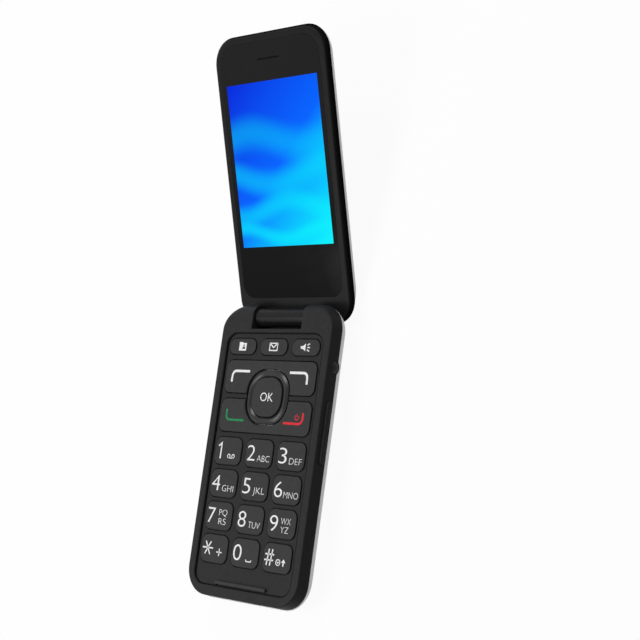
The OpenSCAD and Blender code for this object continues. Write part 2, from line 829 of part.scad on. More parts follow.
// Plate that rocks about a line through its middle; its nub stands on the mat
module rocker(row, nub_row) {
    under = rocker_top - rocker_t;
    color([0.26, 0.26, 0.27]) difference() {
        union() {
            slab(plate_w, plate_d, key_r, under, key_top - cap_step, row);
            slab(plate_w - 2 * cap_edge, plate_d - 2 * cap_edge, key_r - cap_edge, under, key_top, row);
            slab(plate_w + 1, plate_d + 1, key_r + 0.5, under, rocker_top, row);
            slab(1.4, 1.8, 0.5, mat_top + 0.15, under, nub_row);
        }
        ring_room(mat_top, key_top + over);
    }
}

module softkey_rocker() {
    difference() {
        rocker(upper_row, nav_row - nub_out);
        color([0.26, 0.26, 0.27]) jack_pocket(jack_body_r + 0.45);
    }
}

module call_rocker() {
    rocker(lower_row, nav_row + nub_out);
}

module nav_platform() {
    color([0.5, 0.5, 0.5]) difference() {
        slab(ring_w - 2 * ring_step, ring_d - 2 * ring_step, ring_r - ring_step, platform_under,
            platform_under + platform_t, nav_row);
        ok_room();
    }
}

module nav_ring() {
    color([0.32, 0.32, 0.34]) difference() {
        union() {
            slab(ring_w, ring_d, ring_r, ring_under, ring_top - ring_step, nav_row);
            slab(ring_w - 2 * ring_edge, ring_d - 2 * ring_edge, ring_r - ring_edge, ring_under, ring_top,
                nav_row);
        }
        ok_room();
    }
}

module key_ok() {
    color([0.24, 0.24, 0.25]) {
        slab(ok_w, ok_d, ok_r, press_foot, key_top, nav_row);
        slab(ok_w - 4 * cap_edge, ok_d - 4 * cap_edge, ok_r - 2 * cap_edge, press_foot, key_top + cap_step,
            nav_row);
    }
}

module volume_key() {
    color([0.18, 0.18, 0.19]) translate([0, -volume_row, volume_z]) rotate([0, 90, 0]) {
        translate([0, 0, volume_flange_x - volume_flange_t]) linear_extrude(volume_flange_t)
            square([volume_h + 0.5, volume_len + 2 * volume_lip], center = true);
        translate([0, 0, volume_flange_x - 0.1])
            linear_extrude(half_w + volume_proud - volume_flange_x + 0.1)
            pill(volume_h, volume_len, volume_h / 2);
    }
}

// ---- Hinge ----

module hinge_shaft() {
    color([0.7, 0.7, 0.72]) rod(-shaft_len / 2, shaft_len / 2, shaft_r);
}

module hinge_bushes() {
    color([0.8, 0.65, 0.35]) both_sides() difference() {
        rod(barrel_half - bush_len, barrel_half, bush_r - shaft_fit);
        rod(0, barrel_half + over, shaft_r + shaft_play);
    }
}

module hinge_cam() {
    inner = barrel_half - bush_len - fit;
    color([0.55, 0.55, 0.57]) difference() {
        rod(-inner, inner, bush_r - 0.1);
        rod(-inner - over, inner + over, shaft_r + fit);
    }
}

// ---- Forms of the display half, closed ----

// Side view of the display half: sloped heel blended into the outer face, drawn in by d
module lid_side(d) {
    reach = lid_open_reach - d;
    flat = lid_out - d;
    y = blend_y(flat, reach);
    end = lid_heel - d;
    rotate([90, 0, 90]) translate([0, 0, -phone_w]) linear_extrude(2 * phone_w)
        polygon(concat([[-2 * lid_reach, 0], [end, 0], [end, (reach - sin(heel) * end) / cos(heel)]],
            arc([y, flat - heel_blend], heel_blend, 90 - heel, 90, 6), [[-2 * lid_reach, flat]]));
}

// Silver half beyond the seam, drawn in by d
module shell_form(d) {
    intersection() {
        hull() for (a = [0:15:90])
            layer(lid_seam + (lid_t - frame_t - d) * sin(a) - skin, d + lid_round * (1 - cos(a)),
                d + lid_round * (1 - cos(a)), lid_reach, lid_heel);
        lid_side(d);
    }
}

module lid_window(w, len, r, z0, z1) {
    slab(w, len, r, z0, z1, window_mid);
}

module lid_inner_frame() {
    in_lid() color([0.17, 0.17, 0.18]) difference() {
        union() {
            intersection() {
                hull() {
                    layer(lid_face, frame_draft, frame_draft, lid_reach, lid_heel - 0.4);
                    layer(lid_seam - skin, 0, 0, lid_reach, lid_heel);
                }
                lid_side(0);
            }
            rod(-barrel_half, barrel_half, barrel_r);
            block([-barrel_half, -3, 0], [barrel_half, 2.6, lid_face + 0.5]);
        }
        lid_window(window_w, window_len, window_r, lid_face - over, window_under);
        slab(lcd_w + 2 * air, lcd_len + 2 * air, 0.6, lid_face, lid_seam + over, lcd_mid);
        slab(ear_len + 1, ear_body_d + 2 * ear_play, 0.5, lid_face, lid_seam + over, ear_row);
        rod(-barrel_half - over, barrel_half + over, bush_r);
        for (x = [-1, 1]) translate([x * lid_screw_x, -lid_screw_row, lid_face]) {
            cylinder(h = frame_t + over, r = screw_r + fit);
            cylinder(h = window_t + lid_screw_head_t + fit, r = screw_head_r + 0.05);
        }
    }
}

module in_lid() {
    rotate([-open_angle, 0, 0]) children();
}

module lid_outer_shell() {
    in_lid() color([0.78, 0.78, 0.8]) difference() {
        union() {
            difference() {
                shell_form(0);
                translate([0, 0, -skin]) shell_form(lid_wall);
                block([-phone_w, -2 * lid_reach, lid_seam - 2 * skin], [phone_w, lid_heel + over, lid_seam]);
            }
            for (x = [-1, 1]) translate([x * lid_screw_x, -lid_screw_row, lid_seam])
                cylinder(h = shell_in - lid_seam + 0.2, r = screw_r + 0.8);
        }
        for (x = [-1, 1]) translate([x * lid_screw_x, -lid_screw_row, lid_seam - over])
            cylinder(h = lid_screw_len + 0.6 + over, r = screw_r);
        translate([camera_pos[0], -camera_pos[1], lid_seam]) cylinder(h = lid_t, r = camera_r);
        translate([torch_pos[0], -torch_pos[1], lid_seam]) cylinder(h = lid_t, r = torch_r + fit);
    }
}

// ---- Display half: what it holds ----

module display_window() {
    in_lid() color([0.08, 0.08, 0.09]) difference() {
        lid_window(window_w - 2 * fit, window_len - 2 * fit, window_r - fit, lid_face, window_under);
        slab(ear_len, ear_w, ear_w / 2, lid_face - over, lid_seam, ear_row);
    }
}

module lcd_panel() {
    in_lid() color([0.0, 0.3, 0.85])
        slab(lcd_w, lcd_len, 0.4, window_under + fit, lcd_out, lcd_mid);
}

module backlight() {
    in_lid() color([0.9, 0.9, 0.88])
        slab(lcd_w - 2 * light_edge, lcd_len - 2 * light_edge, 0.4, lcd_out + fit, light_out, lcd_mid);
}

module lid_board() {
    in_lid() color([0.05, 0.3, 0.14])
        slab(lcd_w - 2 * lid_board_side, lcd_len - 3 * lid_board_side, lid_board_r, light_out + fit,
            light_out + fit + lid_board_t, lcd_mid);
}

module earpiece() {
    in_lid() color([0.12, 0.12, 0.12])
        slab(ear_len + 0.4, ear_body_d, 0.4, window_under + fit, window_under + fit + ear_body_t, ear_row);
}

module earpiece_mesh() {
    in_lid() color([0.3, 0.3, 0.31])
        slab(ear_len - 2 * fit, ear_w - 2 * fit, ear_w / 2 - fit, lid_face + 0.15, window_under, ear_row);
}

module camera_module() {
    in_lid() color([0.1, 0.1, 0.1]) translate([camera_pos[0], -camera_pos[1], 0])
        slab(camera_side, camera_side, 0.5, lid_seam + 0.3, shell_in - fit);
}

module camera_lens() {
    in_lid() color([0.06, 0.06, 0.08]) translate([camera_pos[0], -camera_pos[1], 0])
        translate([0, 0, shell_in - fit]) cylinder(h = lid_wall + 2 * fit, r = camera_r - fit);
}

module torch_led() {
    in_lid() color([0.95, 0.95, 0.85]) translate([torch_pos[0], -torch_pos[1], shell_in - fit - 1])
        cylinder(h = lid_wall + fit + 1, r = torch_r);
}

module lid_magnet() {
    in_lid() color([0.6, 0.6, 0.62])
        slab(magnet_w, magnet_d, 0.2, lid_seam + fit, lid_seam + fit + magnet_t, ear_row, magnet_x);
}

module lid_screws() {
    in_lid() color([0.6, 0.6, 0.62]) for (x = [-1, 1]) translate([x * lid_screw_x, -lid_screw_row, 0]) {
        translate([0, 0, window_under + 0.05]) cylinder(h = lid_screw_head_t, r = screw_head_r - fit);
        translate([0, 0, window_under + lid_screw_head_t]) cylinder(h = lid_screw_len, r = screw_r - 0.05);
    }
}

// ---- The phone, stood with the middle of its back on the origin ----

module from_axis() {
    translate([0, axis_y, axis_h]) children();
}

from_axis() {
    base_front_housing();
    base_rear_housing();
    keypad_fascia();
    rest_bar();
    key_mat();
    dome_sheet();
    main_board();
    shield_cans();
    sim_holder();
    battery();
    battery_contacts();
    loudspeaker();
    speaker_trim();
    battery_cover();
    headphone_jack();
    usb_port();
    charge_contacts();
    microphone();
    vibration_motor();
    antenna();
    base_screws();
    hinge_shaft();
    volume_switches();
    for (k = NUMBER_KEYS) number_key(k[1], k[2]);
    for (k = SHORTCUT_KEYS) shortcut_key(k[1]);
    softkey_rocker();
    call_rocker();
    nav_platform();
    nav_ring();
    key_ok();
    volume_key();
    lid_inner_frame();
    lid_outer_shell();
    display_window();
    lcd_panel();
    backlight();
    earpiece();
    earpiece_mesh();
    lid_board();
    camera_module();
    camera_lens();
    torch_led();
    lid_magnet();
    lid_screws();
    hinge_bushes();
    hinge_cam();
}
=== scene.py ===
import json
import logging
import math
from dataclasses import dataclass, field
from enum import Enum
from typing import Iterable, Sequence

import bmesh
import bpy
from mathutils import Matrix, Vector


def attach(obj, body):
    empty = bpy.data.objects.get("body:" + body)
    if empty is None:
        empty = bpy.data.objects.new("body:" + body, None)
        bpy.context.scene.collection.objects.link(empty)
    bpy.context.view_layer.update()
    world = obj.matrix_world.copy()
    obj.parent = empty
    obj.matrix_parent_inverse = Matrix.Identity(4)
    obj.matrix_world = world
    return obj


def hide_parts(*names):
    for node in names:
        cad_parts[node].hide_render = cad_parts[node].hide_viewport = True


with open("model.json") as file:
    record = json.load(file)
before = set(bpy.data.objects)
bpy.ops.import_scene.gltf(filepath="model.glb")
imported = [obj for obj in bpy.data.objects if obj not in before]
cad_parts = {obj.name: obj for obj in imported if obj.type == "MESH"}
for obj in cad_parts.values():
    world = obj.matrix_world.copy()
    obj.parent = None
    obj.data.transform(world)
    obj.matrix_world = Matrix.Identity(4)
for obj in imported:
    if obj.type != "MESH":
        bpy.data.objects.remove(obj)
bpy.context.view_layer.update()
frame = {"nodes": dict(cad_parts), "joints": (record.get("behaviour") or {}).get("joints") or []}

LOG = logging.getLogger("flip_phone")
MM = 0.001
KEYPAD_BODY = "keypad_half"
DISPLAY_BODY = "display_half"

Point = tuple[float, float]
Triple = tuple[float, float, float]
Quad = tuple[float, float, float, float]
Colour = Triple
Ring = list[Vector]
Solid = bmesh.types.BMesh
Vert = bmesh.types.BMVert
Socket = bpy.types.NodeSocket

QUARTER_Y = Matrix.Rotation(math.pi / 2, 4, "Y")
SIDE_ON = Matrix(((0, 0, 1, 0), (1, 0, 0, 0), (0, 1, 0, 0), (0, 0, 0, 1)))  # drawn as (Y, Z), raised along X

# ---------------------------------------------------------------- measures shared by the assemblies


@dataclass(frozen=True)
class HingeFrame:
    """The hinge axis that both halves are measured from, in millimetres."""

    pivot: Vector
    opened: float

    @classmethod
    def from_joint(cls, joints: Sequence[dict], name: str) -> "HingeFrame":
        """Reads the axis and the opening angle from one joint.

        Args:
            joints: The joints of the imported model.
            name: The joint that swings the display half.

        Returns:
            The frame that places both halves.
        """
        joint = next(j for j in joints if j["name"] == name)
        return cls(Vector(joint["pos_m"]), math.radians(joint["range_deg"][1]))

    def keypad(self) -> Matrix:
        """Places a piece of the keypad half, in metres."""
        return Matrix.Translation(self.pivot) @ Matrix.Scale(MM, 4)

    def display(self) -> Matrix:
        """Places a piece of the display half, which is drawn closed, in metres."""
        return self.keypad() @ Matrix.Rotation(-self.opened, 4, "X")


def along(start: Point, stop: Point, count: int) -> list[Point]:
    """Points on a straight line, without its last one."""
    return [(start[0] + (stop[0] - start[0]) * i / count, start[1] + (stop[1] - start[1]) * i / count)
            for i in range(count)]


def arc(middle: Point, radius: float, start: float, stop: float, count: int) -> list[Point]:
    """Points on an arc, without its last one.

    Args:
        middle: Middle of the arc.
        radius: Its radius.
        start: First angle in degrees.
        stop: Last angle in degrees.
        count: Number of points.

    Returns:
        The points in order.
    """
    turn = [math.radians(start + (stop - start) * i / count) for i in range(count)]
    return [(middle[0] + radius * math.cos(a), middle[1] + radius * math.sin(a)) for a in turn]


@dataclass(frozen=True)
class Level:
    """One cut across a half at a height z: a round-cornered outline, with or without the hinge recess."""

    z: float
    half: float
    far: float
    near: float
    far_r: float
    near_r: float
    recess: float = 0.0
    recess_y: float = 0.0
    splay: float = 0.0

    def ring(self) -> Ring:
        """Gives the outline with the same number of points at every level."""
        floor = min(self.recess_y, self.near) if self.recess else self.near
        wide = min(self.recess or self.half * 0.4, self.half - self.near_r - self.splay - 0.2)
        right = along((0, floor), (wide, floor), 4)
        right += along((wide, floor), (wide + self.splay, self.near), 4)
        right += along((wide + self.splay, self.near), (self.half - self.near_r, self.near), 4)
        right += arc((self.half - self.near_r, self.near - self.near_r), self.near_r, 90, 0, 12)
        right += along((self.half, self.near - self.near_r), (self.half, self.far + self.far_r), 14)
        right += arc((self.half - self.far_r, self.far + self.far_r), self.far_r, 0, -90, 12)
        right += along((self.half - self.far_r, self.far), (0, self.far), 4) + [(0, self.far)]
        left = [(-x, y) for x, y in reversed(right[1:-1])]
        return [Vector((x, y, self.z)) for x, y in right + left]


def round_rectangle(width: float, depth: float, radius: float, middle: Point = (0, 0),
                    steps: int = 8) -> list[Point]:
    """Outline of a rectangle with round corners.

    Args:
        width: Size along X.
        depth: Size along Y.
        radius: Corner radius.
        middle: Its middle.
        steps: Points on each corner.

    Returns:
        The outline, starting at the right of the far corner.
    """
    r = min(radius, width / 2 - 0.002, depth / 2 - 0.002)
    x, y = width / 2 - r, depth / 2 - r
    corners = [(x, y, 0), (-x, y, 90), (-x, -y, 180), (x, -y, 270)]
    return [p for cx, cy, a in corners
            for p in arc((middle[0] + cx, middle[1] + cy), r, a, a + 90, steps)
            + [(middle[0] + cx + r * math.cos(math.radians(a + 90)),
                middle[1] + cy + r * math.sin(math.radians(a + 90)))]]


def at_height(outline: Iterable[Point], z: float) -> Ring:
    """Lifts a flat outline to one height."""
    return [Vector((x, y, z)) for x, y in outline]


# ---------------------------------------------------------------- mesh work


def lofted(rings: Sequence[Ring], closed: bool = False) -> Solid:
    """Draws a skin through rings of equal count, each extruded from the one before.

    Args:
        rings: The rings in order.
        closed: Whether the last ring meets the first; otherwise both ends get a flat cap.

    Returns:
        The skin as a new mesh.
    """
    bm = bmesh.new()
    verts = [bm.verts.new(p) for p in rings[0]]
    edges = [bm.edges.new((verts[i], verts[(i + 1) % len(verts)])) for i in range(len(verts))]
    first = list(edges)
    for ring in list(rings[1:]) + ([rings[0]] if closed else []):
        made = bmesh.ops.extrude_edge_only(bm, edges=edges)["geom"]
        fresh = {g for g in made if isinstance(g, Vert)}
        verts = [next(e.other_vert(v) for e in v.link_edges if e.other_vert(v) in fresh) for v in verts]
        for vert, place in zip(verts, ring):
            vert.co = place
        edges = [bm.edges.get((verts[i], verts[(i + 1) % len(verts)])) for i in range(len(verts))]
    if not closed:
        bmesh.ops.contextual_create(bm, geom=first)
        bmesh.ops.contextual_create(bm, geom=edges)
    return bm


def rounded_top(width: float, depth: float, radius: float, high: float, edge: float,
                count: int = 4) -> list[Quad]:
    """Gives the rings that round a top edge over.

    Args:
        width: Width of the slab.
        depth: Depth of the slab.
        radius: Corner radius.
        high: Height of the top.
        edge: Radius of the rounding.
        count: Rings on it.

    Returns:
        Width, depth, corner radius and height of each ring.
    """
    rings = []
    for i in range(1, count + 1):
        a = math.pi / 2 * i / count
        draw = edge * (1 - math.cos(a))
        rings.append((width - 2 * draw, depth - 2 * draw, max(0.03, radius - draw),
                      high - edge + edge * math.sin(a)))
    return rings


def stacked(sizes: Sequence[Quad], middle: Point = (0, 0), steps: int = 8) -> Solid:
    """Lofts round rectangles of (width, depth, radius, height) on top of each other.

    Args:
        sizes: The rectangles in order.
        middle: Their common middle.
        steps: Points on each corner.

    Returns:
        The form as a new mesh.
    """
    return lofted([at_height(round_rectangle(w, d, r, middle, steps), z) for w, d, r, z in sizes])


def slab(outline: Sequence[Point], low: float, high: float, edge: float = 0.0) -> Solid:
    """Extrudes an outline into a slab and rounds its top edge.

    Args:
        outline: The outline.
        low: Height of the underside.
        high: Height of the top.
        edge: Rounding of the top edge.

    Returns:
        The slab as a new mesh.
    """
    bm = bmesh.new()
    base = bm.faces.new([bm.verts.new((x, y, low)) for x, y in outline])
    made = bmesh.ops.extrude_face_region(bm, geom=[base])["geom"]
    top = [g for g in made if isinstance(g, Vert)]
    bmesh.ops.translate(bm, verts=top, vec=(0, 0, high - low))
    if edge:
        rim = [e for e in bm.edges if e.verts[0] in top and all(abs(v.co.z - high) < 1e-6 for v in e.verts)
               and len(e.link_faces) == 2 and any(abs(f.normal.z) < 0.5 for f in e.link_faces)]
        bmesh.ops.bevel(bm, geom=rim, offset=edge, offset_type="OFFSET", segments=3, profile=0.5,
                        affect="EDGES", material=-1, clamp_overlap=True)
    return bm


def placed(bm: Solid, place: Matrix) -> Solid:
    """Moves a whole mesh to its place and gives it back."""
    bmesh.ops.transform(bm, matrix=place, verts=bm.verts)
    return bm


def turned(profile: Sequence[Point], place: Matrix, steps: int = 48) -> Solid:
    """Spins a closed profile of (radius, height) about Z and puts the result in place.

    Args:
        profile: The profile; where its ends lie on the axis they close there.
        place: Where the turned form goes.
        steps: Steps of the full turn.

    Returns:
        The turned form as a new mesh.
    """
    bm = bmesh.new()
    verts = [bm.verts.new((r, 0, h)) for r, h in profile]
    on_axis = profile[0][0] < 1e-6 and profile[-1][0] < 1e-6
    count = len(verts) if not on_axis else len(verts) - 1
    edges = [bm.edges.new((verts[i], verts[(i + 1) % len(verts)])) for i in range(count)]
    bmesh.ops.spin(bm, geom=verts + edges, cent=(0, 0, 0), axis=(0, 0, 1), angle=2 * math.pi,
                   steps=steps, use_merge=True)
    bmesh.ops.remove_doubles(bm, verts=bm.verts, dist=1e-5)
    bmesh.ops.recalc_face_normals(bm, faces=bm.faces)
    return placed(bm, place)


def join(bm: Solid, other: Solid) -> None:
    """Moves all of another mesh into this one."""
    held = bpy.data.meshes.new("held")
    other.to_mesh(held)
    other.free()
    bm.from_mesh(held)
    bpy.data.meshes.remove(held)


def ribbon(bm: Solid, line: Sequence[Point], width: float, low: float, high: float,
           loop: bool = False) -> None:
    """Lays a flat band of even width along a line, then gives it its thickness.

    Args:
        bm: Mesh to add to.
        line: Middle of the band.
        width: Its width.
        low: Height of its underside.
        high: Height of its top.
        loop: Whether its ends meet.
    """
    pts = [Vector(p) for p in line]
    sides: list[tuple[Vector, Vector]] = []
    for i, p in enumerate(pts):
        ways = [(p - pts[i - 1]).normalized()] if i or loop else []
        if i < len(pts) - 1 or loop:
            ways.append((pts[(i + 1) % len(pts)] - p).normalized())
        mean = sum(ways, Vector((0, 0))).normalized()
        across = Vector((-mean.y, mean.x)) * (width / 2 / max(0.5, mean.dot(ways[0])))
        sides.append((p + across, p - across))
    work = bmesh.new()
    count = len(pts) if loop else len(pts) - 1
    left = [work.verts.new((a.x, a.y, low)) for a, _ in sides]
    edges = [work.edges.new((left[i], left[(i + 1) % len(left)])) for i in range(count)]
    made = bmesh.ops.extrude_edge_only(work, edges=edges)["geom"]
    fresh = {g for g in made if isinstance(g, Vert)}
    for vert, (_, b) in zip(left, sides):
        partner = next(e.other_vert(vert) for e in vert.link_edges if e.other_vert(vert) in fresh)
        partner.co = (b.x, b.y, low)
    raised = bmesh.ops.extrude_face_region(work, geom=list(work.faces))["geom"]
    bmesh.ops.translate(work, verts=[g for g in raised if isinstance(g, Vert)],
                        vec=(0, 0, high - low))
    bmesh.ops.recalc_face_normals(work, faces=work.faces)
    join(bm, work)


class Cut(Enum):
    """How one solid changes another."""

    AWAY = "DIFFERENCE"
    SHARED = "INTERSECT"
    TOGETHER = "UNION"


def held_object(name: str, bm: Solid) -> bpy.types.Object:
    """Links a mesh to the scene for a moment, so that a modifier can use it."""
    bmesh.ops.recalc_face_normals(bm, faces=bm.faces)
    mesh = bpy.data.meshes.new(name)
    bm.to_mesh(mesh)
    bm.free()
    obj = bpy.data.objects.new(name, mesh)
    bpy.context.scene.collection.objects.link(obj)
    return obj


def discard(objects: Iterable[bpy.types.Object]) -> None:
    """Removes working objects and their data."""
    for obj in objects:
        data = obj.data
        bpy.data.objects.remove(obj)
        if isinstance(data, bpy.types.Mesh):
            bpy.data.meshes.remove(data)
        else:
            bpy.data.curves.remove(data)


def carved(bm: Solid, tools: Sequence[Solid], how: Cut = Cut.AWAY) -> Solid:
    """Cuts solids out of a solid, joins them to it, or keeps what they share.

    Args:
        bm: The solid; it is used up.
        tools: The solids that change it; they are used up.
        how: Whether they are cut away, joined, or only the shared part is kept.

    Returns:
        The changed solid as a new mesh.
    """
    bmesh.ops.remove_doubles(bm, verts=bm.verts, dist=1e-4)
    body = held_object("body", bm)
    others = [held_object("tool", t) for t in tools]
    for other in others:
        step = body.modifiers.new("cut", "BOOLEAN")
        step.operation, step.solver, step.object = how.value, "EXACT", other
    bpy.context.view_layer.update()
    result = bpy.data.meshes.new_from_object(body.evaluated_get(bpy.context.evaluated_depsgraph_get()))
    out = bmesh.new()
    out.from_mesh(result)
    bpy.data.meshes.remove(result)
    discard([body, *others])
    bmesh.ops.remove_doubles(out, verts=out.verts, dist=2e-3)
    bmesh.ops.dissolve_degenerate(out, edges=out.edges, dist=1e-4)
    return out


@dataclass
class PieceMaker:
    """Turns a finished bmesh into a named piece that rides on its body."""

    place: Matrix
    body: str
    crease: float = math.radians(32.0)

    def add(self, name: str, bm: Solid, finish: bpy.types.Material, slot: str,
            stands_for: Sequence[str] = (), body: str = "", flat_faces: bool = True) -> None:
        """Finishes one piece and gives it to its body.

        Args:
            name: Name of the piece.
            bm: Its mesh in millimetres; it is used up.
            finish: Its material.
            slot: Material slot of the record; not used.
            stands_for: CAD nodes that it takes the place of.
            body: Its body, if not the maker's own.
            flat_faces: Whether large faces hold their own direction in the shading.
        """
        bmesh.ops.remove_doubles(bm, verts=bm.verts, dist=1e-4)
        bmesh.ops.recalc_face_normals(bm, faces=bm.faces)
        for face in bm.faces:
            face.smooth = True
        for edge in bm.edges:
            edge.smooth = len(edge.link_faces) == 2 and edge.calc_face_angle(0.0) < self.crease
        obj = held_object(name, bm)
        if flat_faces:
            step = obj.modifiers.new("even", "WEIGHTED_NORMAL")
            step.keep_sharp = True
            bpy.context.view_layer.update()
            seen = obj.evaluated_get(bpy.context.evaluated_depsgraph_get())
            rough, obj.data = obj.data, bpy.data.meshes.new_from_object(seen)
            obj.modifiers.clear()
            bpy.data.meshes.remove(rough)
        obj.data.name = name
        obj.data.transform(self.place)
        obj.data.materials.clear()
        obj.data.materials.append(finish)
        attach(obj, body or self.body)
        if stands_for:
            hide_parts(*stands_for)
        LOG.info("%s: %d faces, rides on %s", name, len(obj.data.polygons), body or self.body)


# ---------------------------------------------------------------- finishes


def tone(red: float, green: float, blue: float) -> Colour:
    """Turns a display colour of 0 to 255 into the linear colour that shaders use."""
    def linear(value: float) -> float:
        """Undoes the display curve of one channel."""
        v = value / 255
        return v / 12.92 if v <= 0.04045 else ((v + 0.055) / 1.055) ** 2.4
    return linear(red), linear(green), linear(blue)


@dataclass
class NodeSheet:
    """A node tree that is being filled."""

    tree: bpy.types.NodeTree

    def wire(self, value: object, socket: Socket) -> None:
        """Links a socket to an input, or writes a plain value into it."""
        if isinstance(value, Socket):
            self.tree.links.new(value, socket)
        elif socket.type == "RGBA" and len(value) == 3:
            socket.default_value = (*value, 1.0)
        else:
            socket.default_value = value

    def node(self, kind: str, **settings: object) -> bpy.types.Node:
        """Adds one node; settings name its properties, or its inputs by i0, i1 and so on."""
        made = self.tree.nodes.new(kind)
        for key, value in settings.items():
            if key[0] == "i" and key[1:].isdigit():
                self.wire(value, made.inputs[int(key[1:])])
            else:
                setattr(made, key, value)
        return made

    def fill(self, node: bpy.types.Node, **inputs: object) -> bpy.types.Node:
        """Wires inputs of a node by name, with _ for each space, and gives the node back."""
        for key, value in inputs.items():
            self.wire(value, node.inputs[key.replace("_", " ")])
        return node

    def math(self, operation: str, *values: object) -> Socket:
        """Adds a Math node over numbers or sockets and gives its result."""
        return self.node("ShaderNodeMath", operation=operation,
                         **{f"i{i}": v for i, v in enumerate(values)}).outputs[0]

    def length(self, x: object, y: object) -> Socket:
        """Gives the distance from the origin to (x, y)."""
        return self.math("SQRT", self.math("ADD", self.math("MULTIPLY", x, x), self.math("MULTIPLY", y, y)))

    def blend(self, share: object, one: object, other: object) -> Socket:
        """Mixes two colours."""
        return self.node("ShaderNodeMix", data_type="RGBA", i0=share, i6=one, i7=other).outputs[2]

    def spread(self, value: object, low: float, high: float, to_low: object = 0.0,
               to_high: object = 1.0) -> Socket:
        """Maps one span of values smoothly to another."""
        return self.node("ShaderNodeMapRange", interpolation_type="SMOOTHSTEP", i0=value, i1=low, i2=high,
                         i3=to_low, i4=to_high).outputs[0]

    def effect(self, kind: "SharedEffect", **inputs: object) -> bpy.types.Node:
        """Places one shared effect with its own values."""
        return self.fill(self.node("ShaderNodeGroup", node_tree=EFFECTS.get(kind)), **inputs)


def new_material(name: str) -> tuple[bpy.types.Material, NodeSheet, bpy.types.Node]:
    """Starts a material and gives it with its sheet and its Principled node."""
    made = bpy.data.materials.new(name)
    made.use_nodes = True
    return made, NodeSheet(made.node_tree), made.node_tree.nodes["Principled BSDF"]


class SharedEffect(Enum):
    """The node groups that several finishes place with their own values."""

    GRAIN = "moulded_grain"
    SMUDGE = "handling_smudge"
    WEAR = "edge_wear"
    SPUN = "spun_rings"
    HOLES = "hole_grid"
    WAVE = "picture_wave"


SOCKETS: dict[SharedEffect, tuple[tuple[tuple[str, str, float], ...], tuple[tuple[str, str], ...]]] = {
    SharedEffect.GRAIN: ((("Size", "Float", 0.3), ("Stretch", "Float", 1.0)),
                         (("Height", "Float"), ("Mottle", "Float"))),
    SharedEffect.SMUDGE: ((("Low", "Float", 0.4), ("High", "Float", 0.5)), (("Roughness", "Float"),)),
    SharedEffect.WEAR: ((("Amount", "Float", 0.3),), (("Mask", "Float"),)),
    SharedEffect.SPUN: ((("Middle X", "Float", 0.0), ("Middle Y", "Float", 0.0), ("Pitch", "Float", 0.2)),
                        (("Height", "Float"), ("Painted Highlight", "Float"))),
    SharedEffect.HOLES: ((("Pitch", "Float", 0.4), ("Hole", "Float", 0.3)), (("Mask", "Float"),)),
    SharedEffect.WAVE: ((("U", "Float", 0.0), ("V", "Float", 0.0), ("Level", "Float", 0.5),
                         ("Swing", "Float", 0.05), ("Turns", "Float", 1.0), ("Shift", "Float", 0.0),
                         ("Soft", "Float", 0.1)), (("Mask", "Float"),)),
}


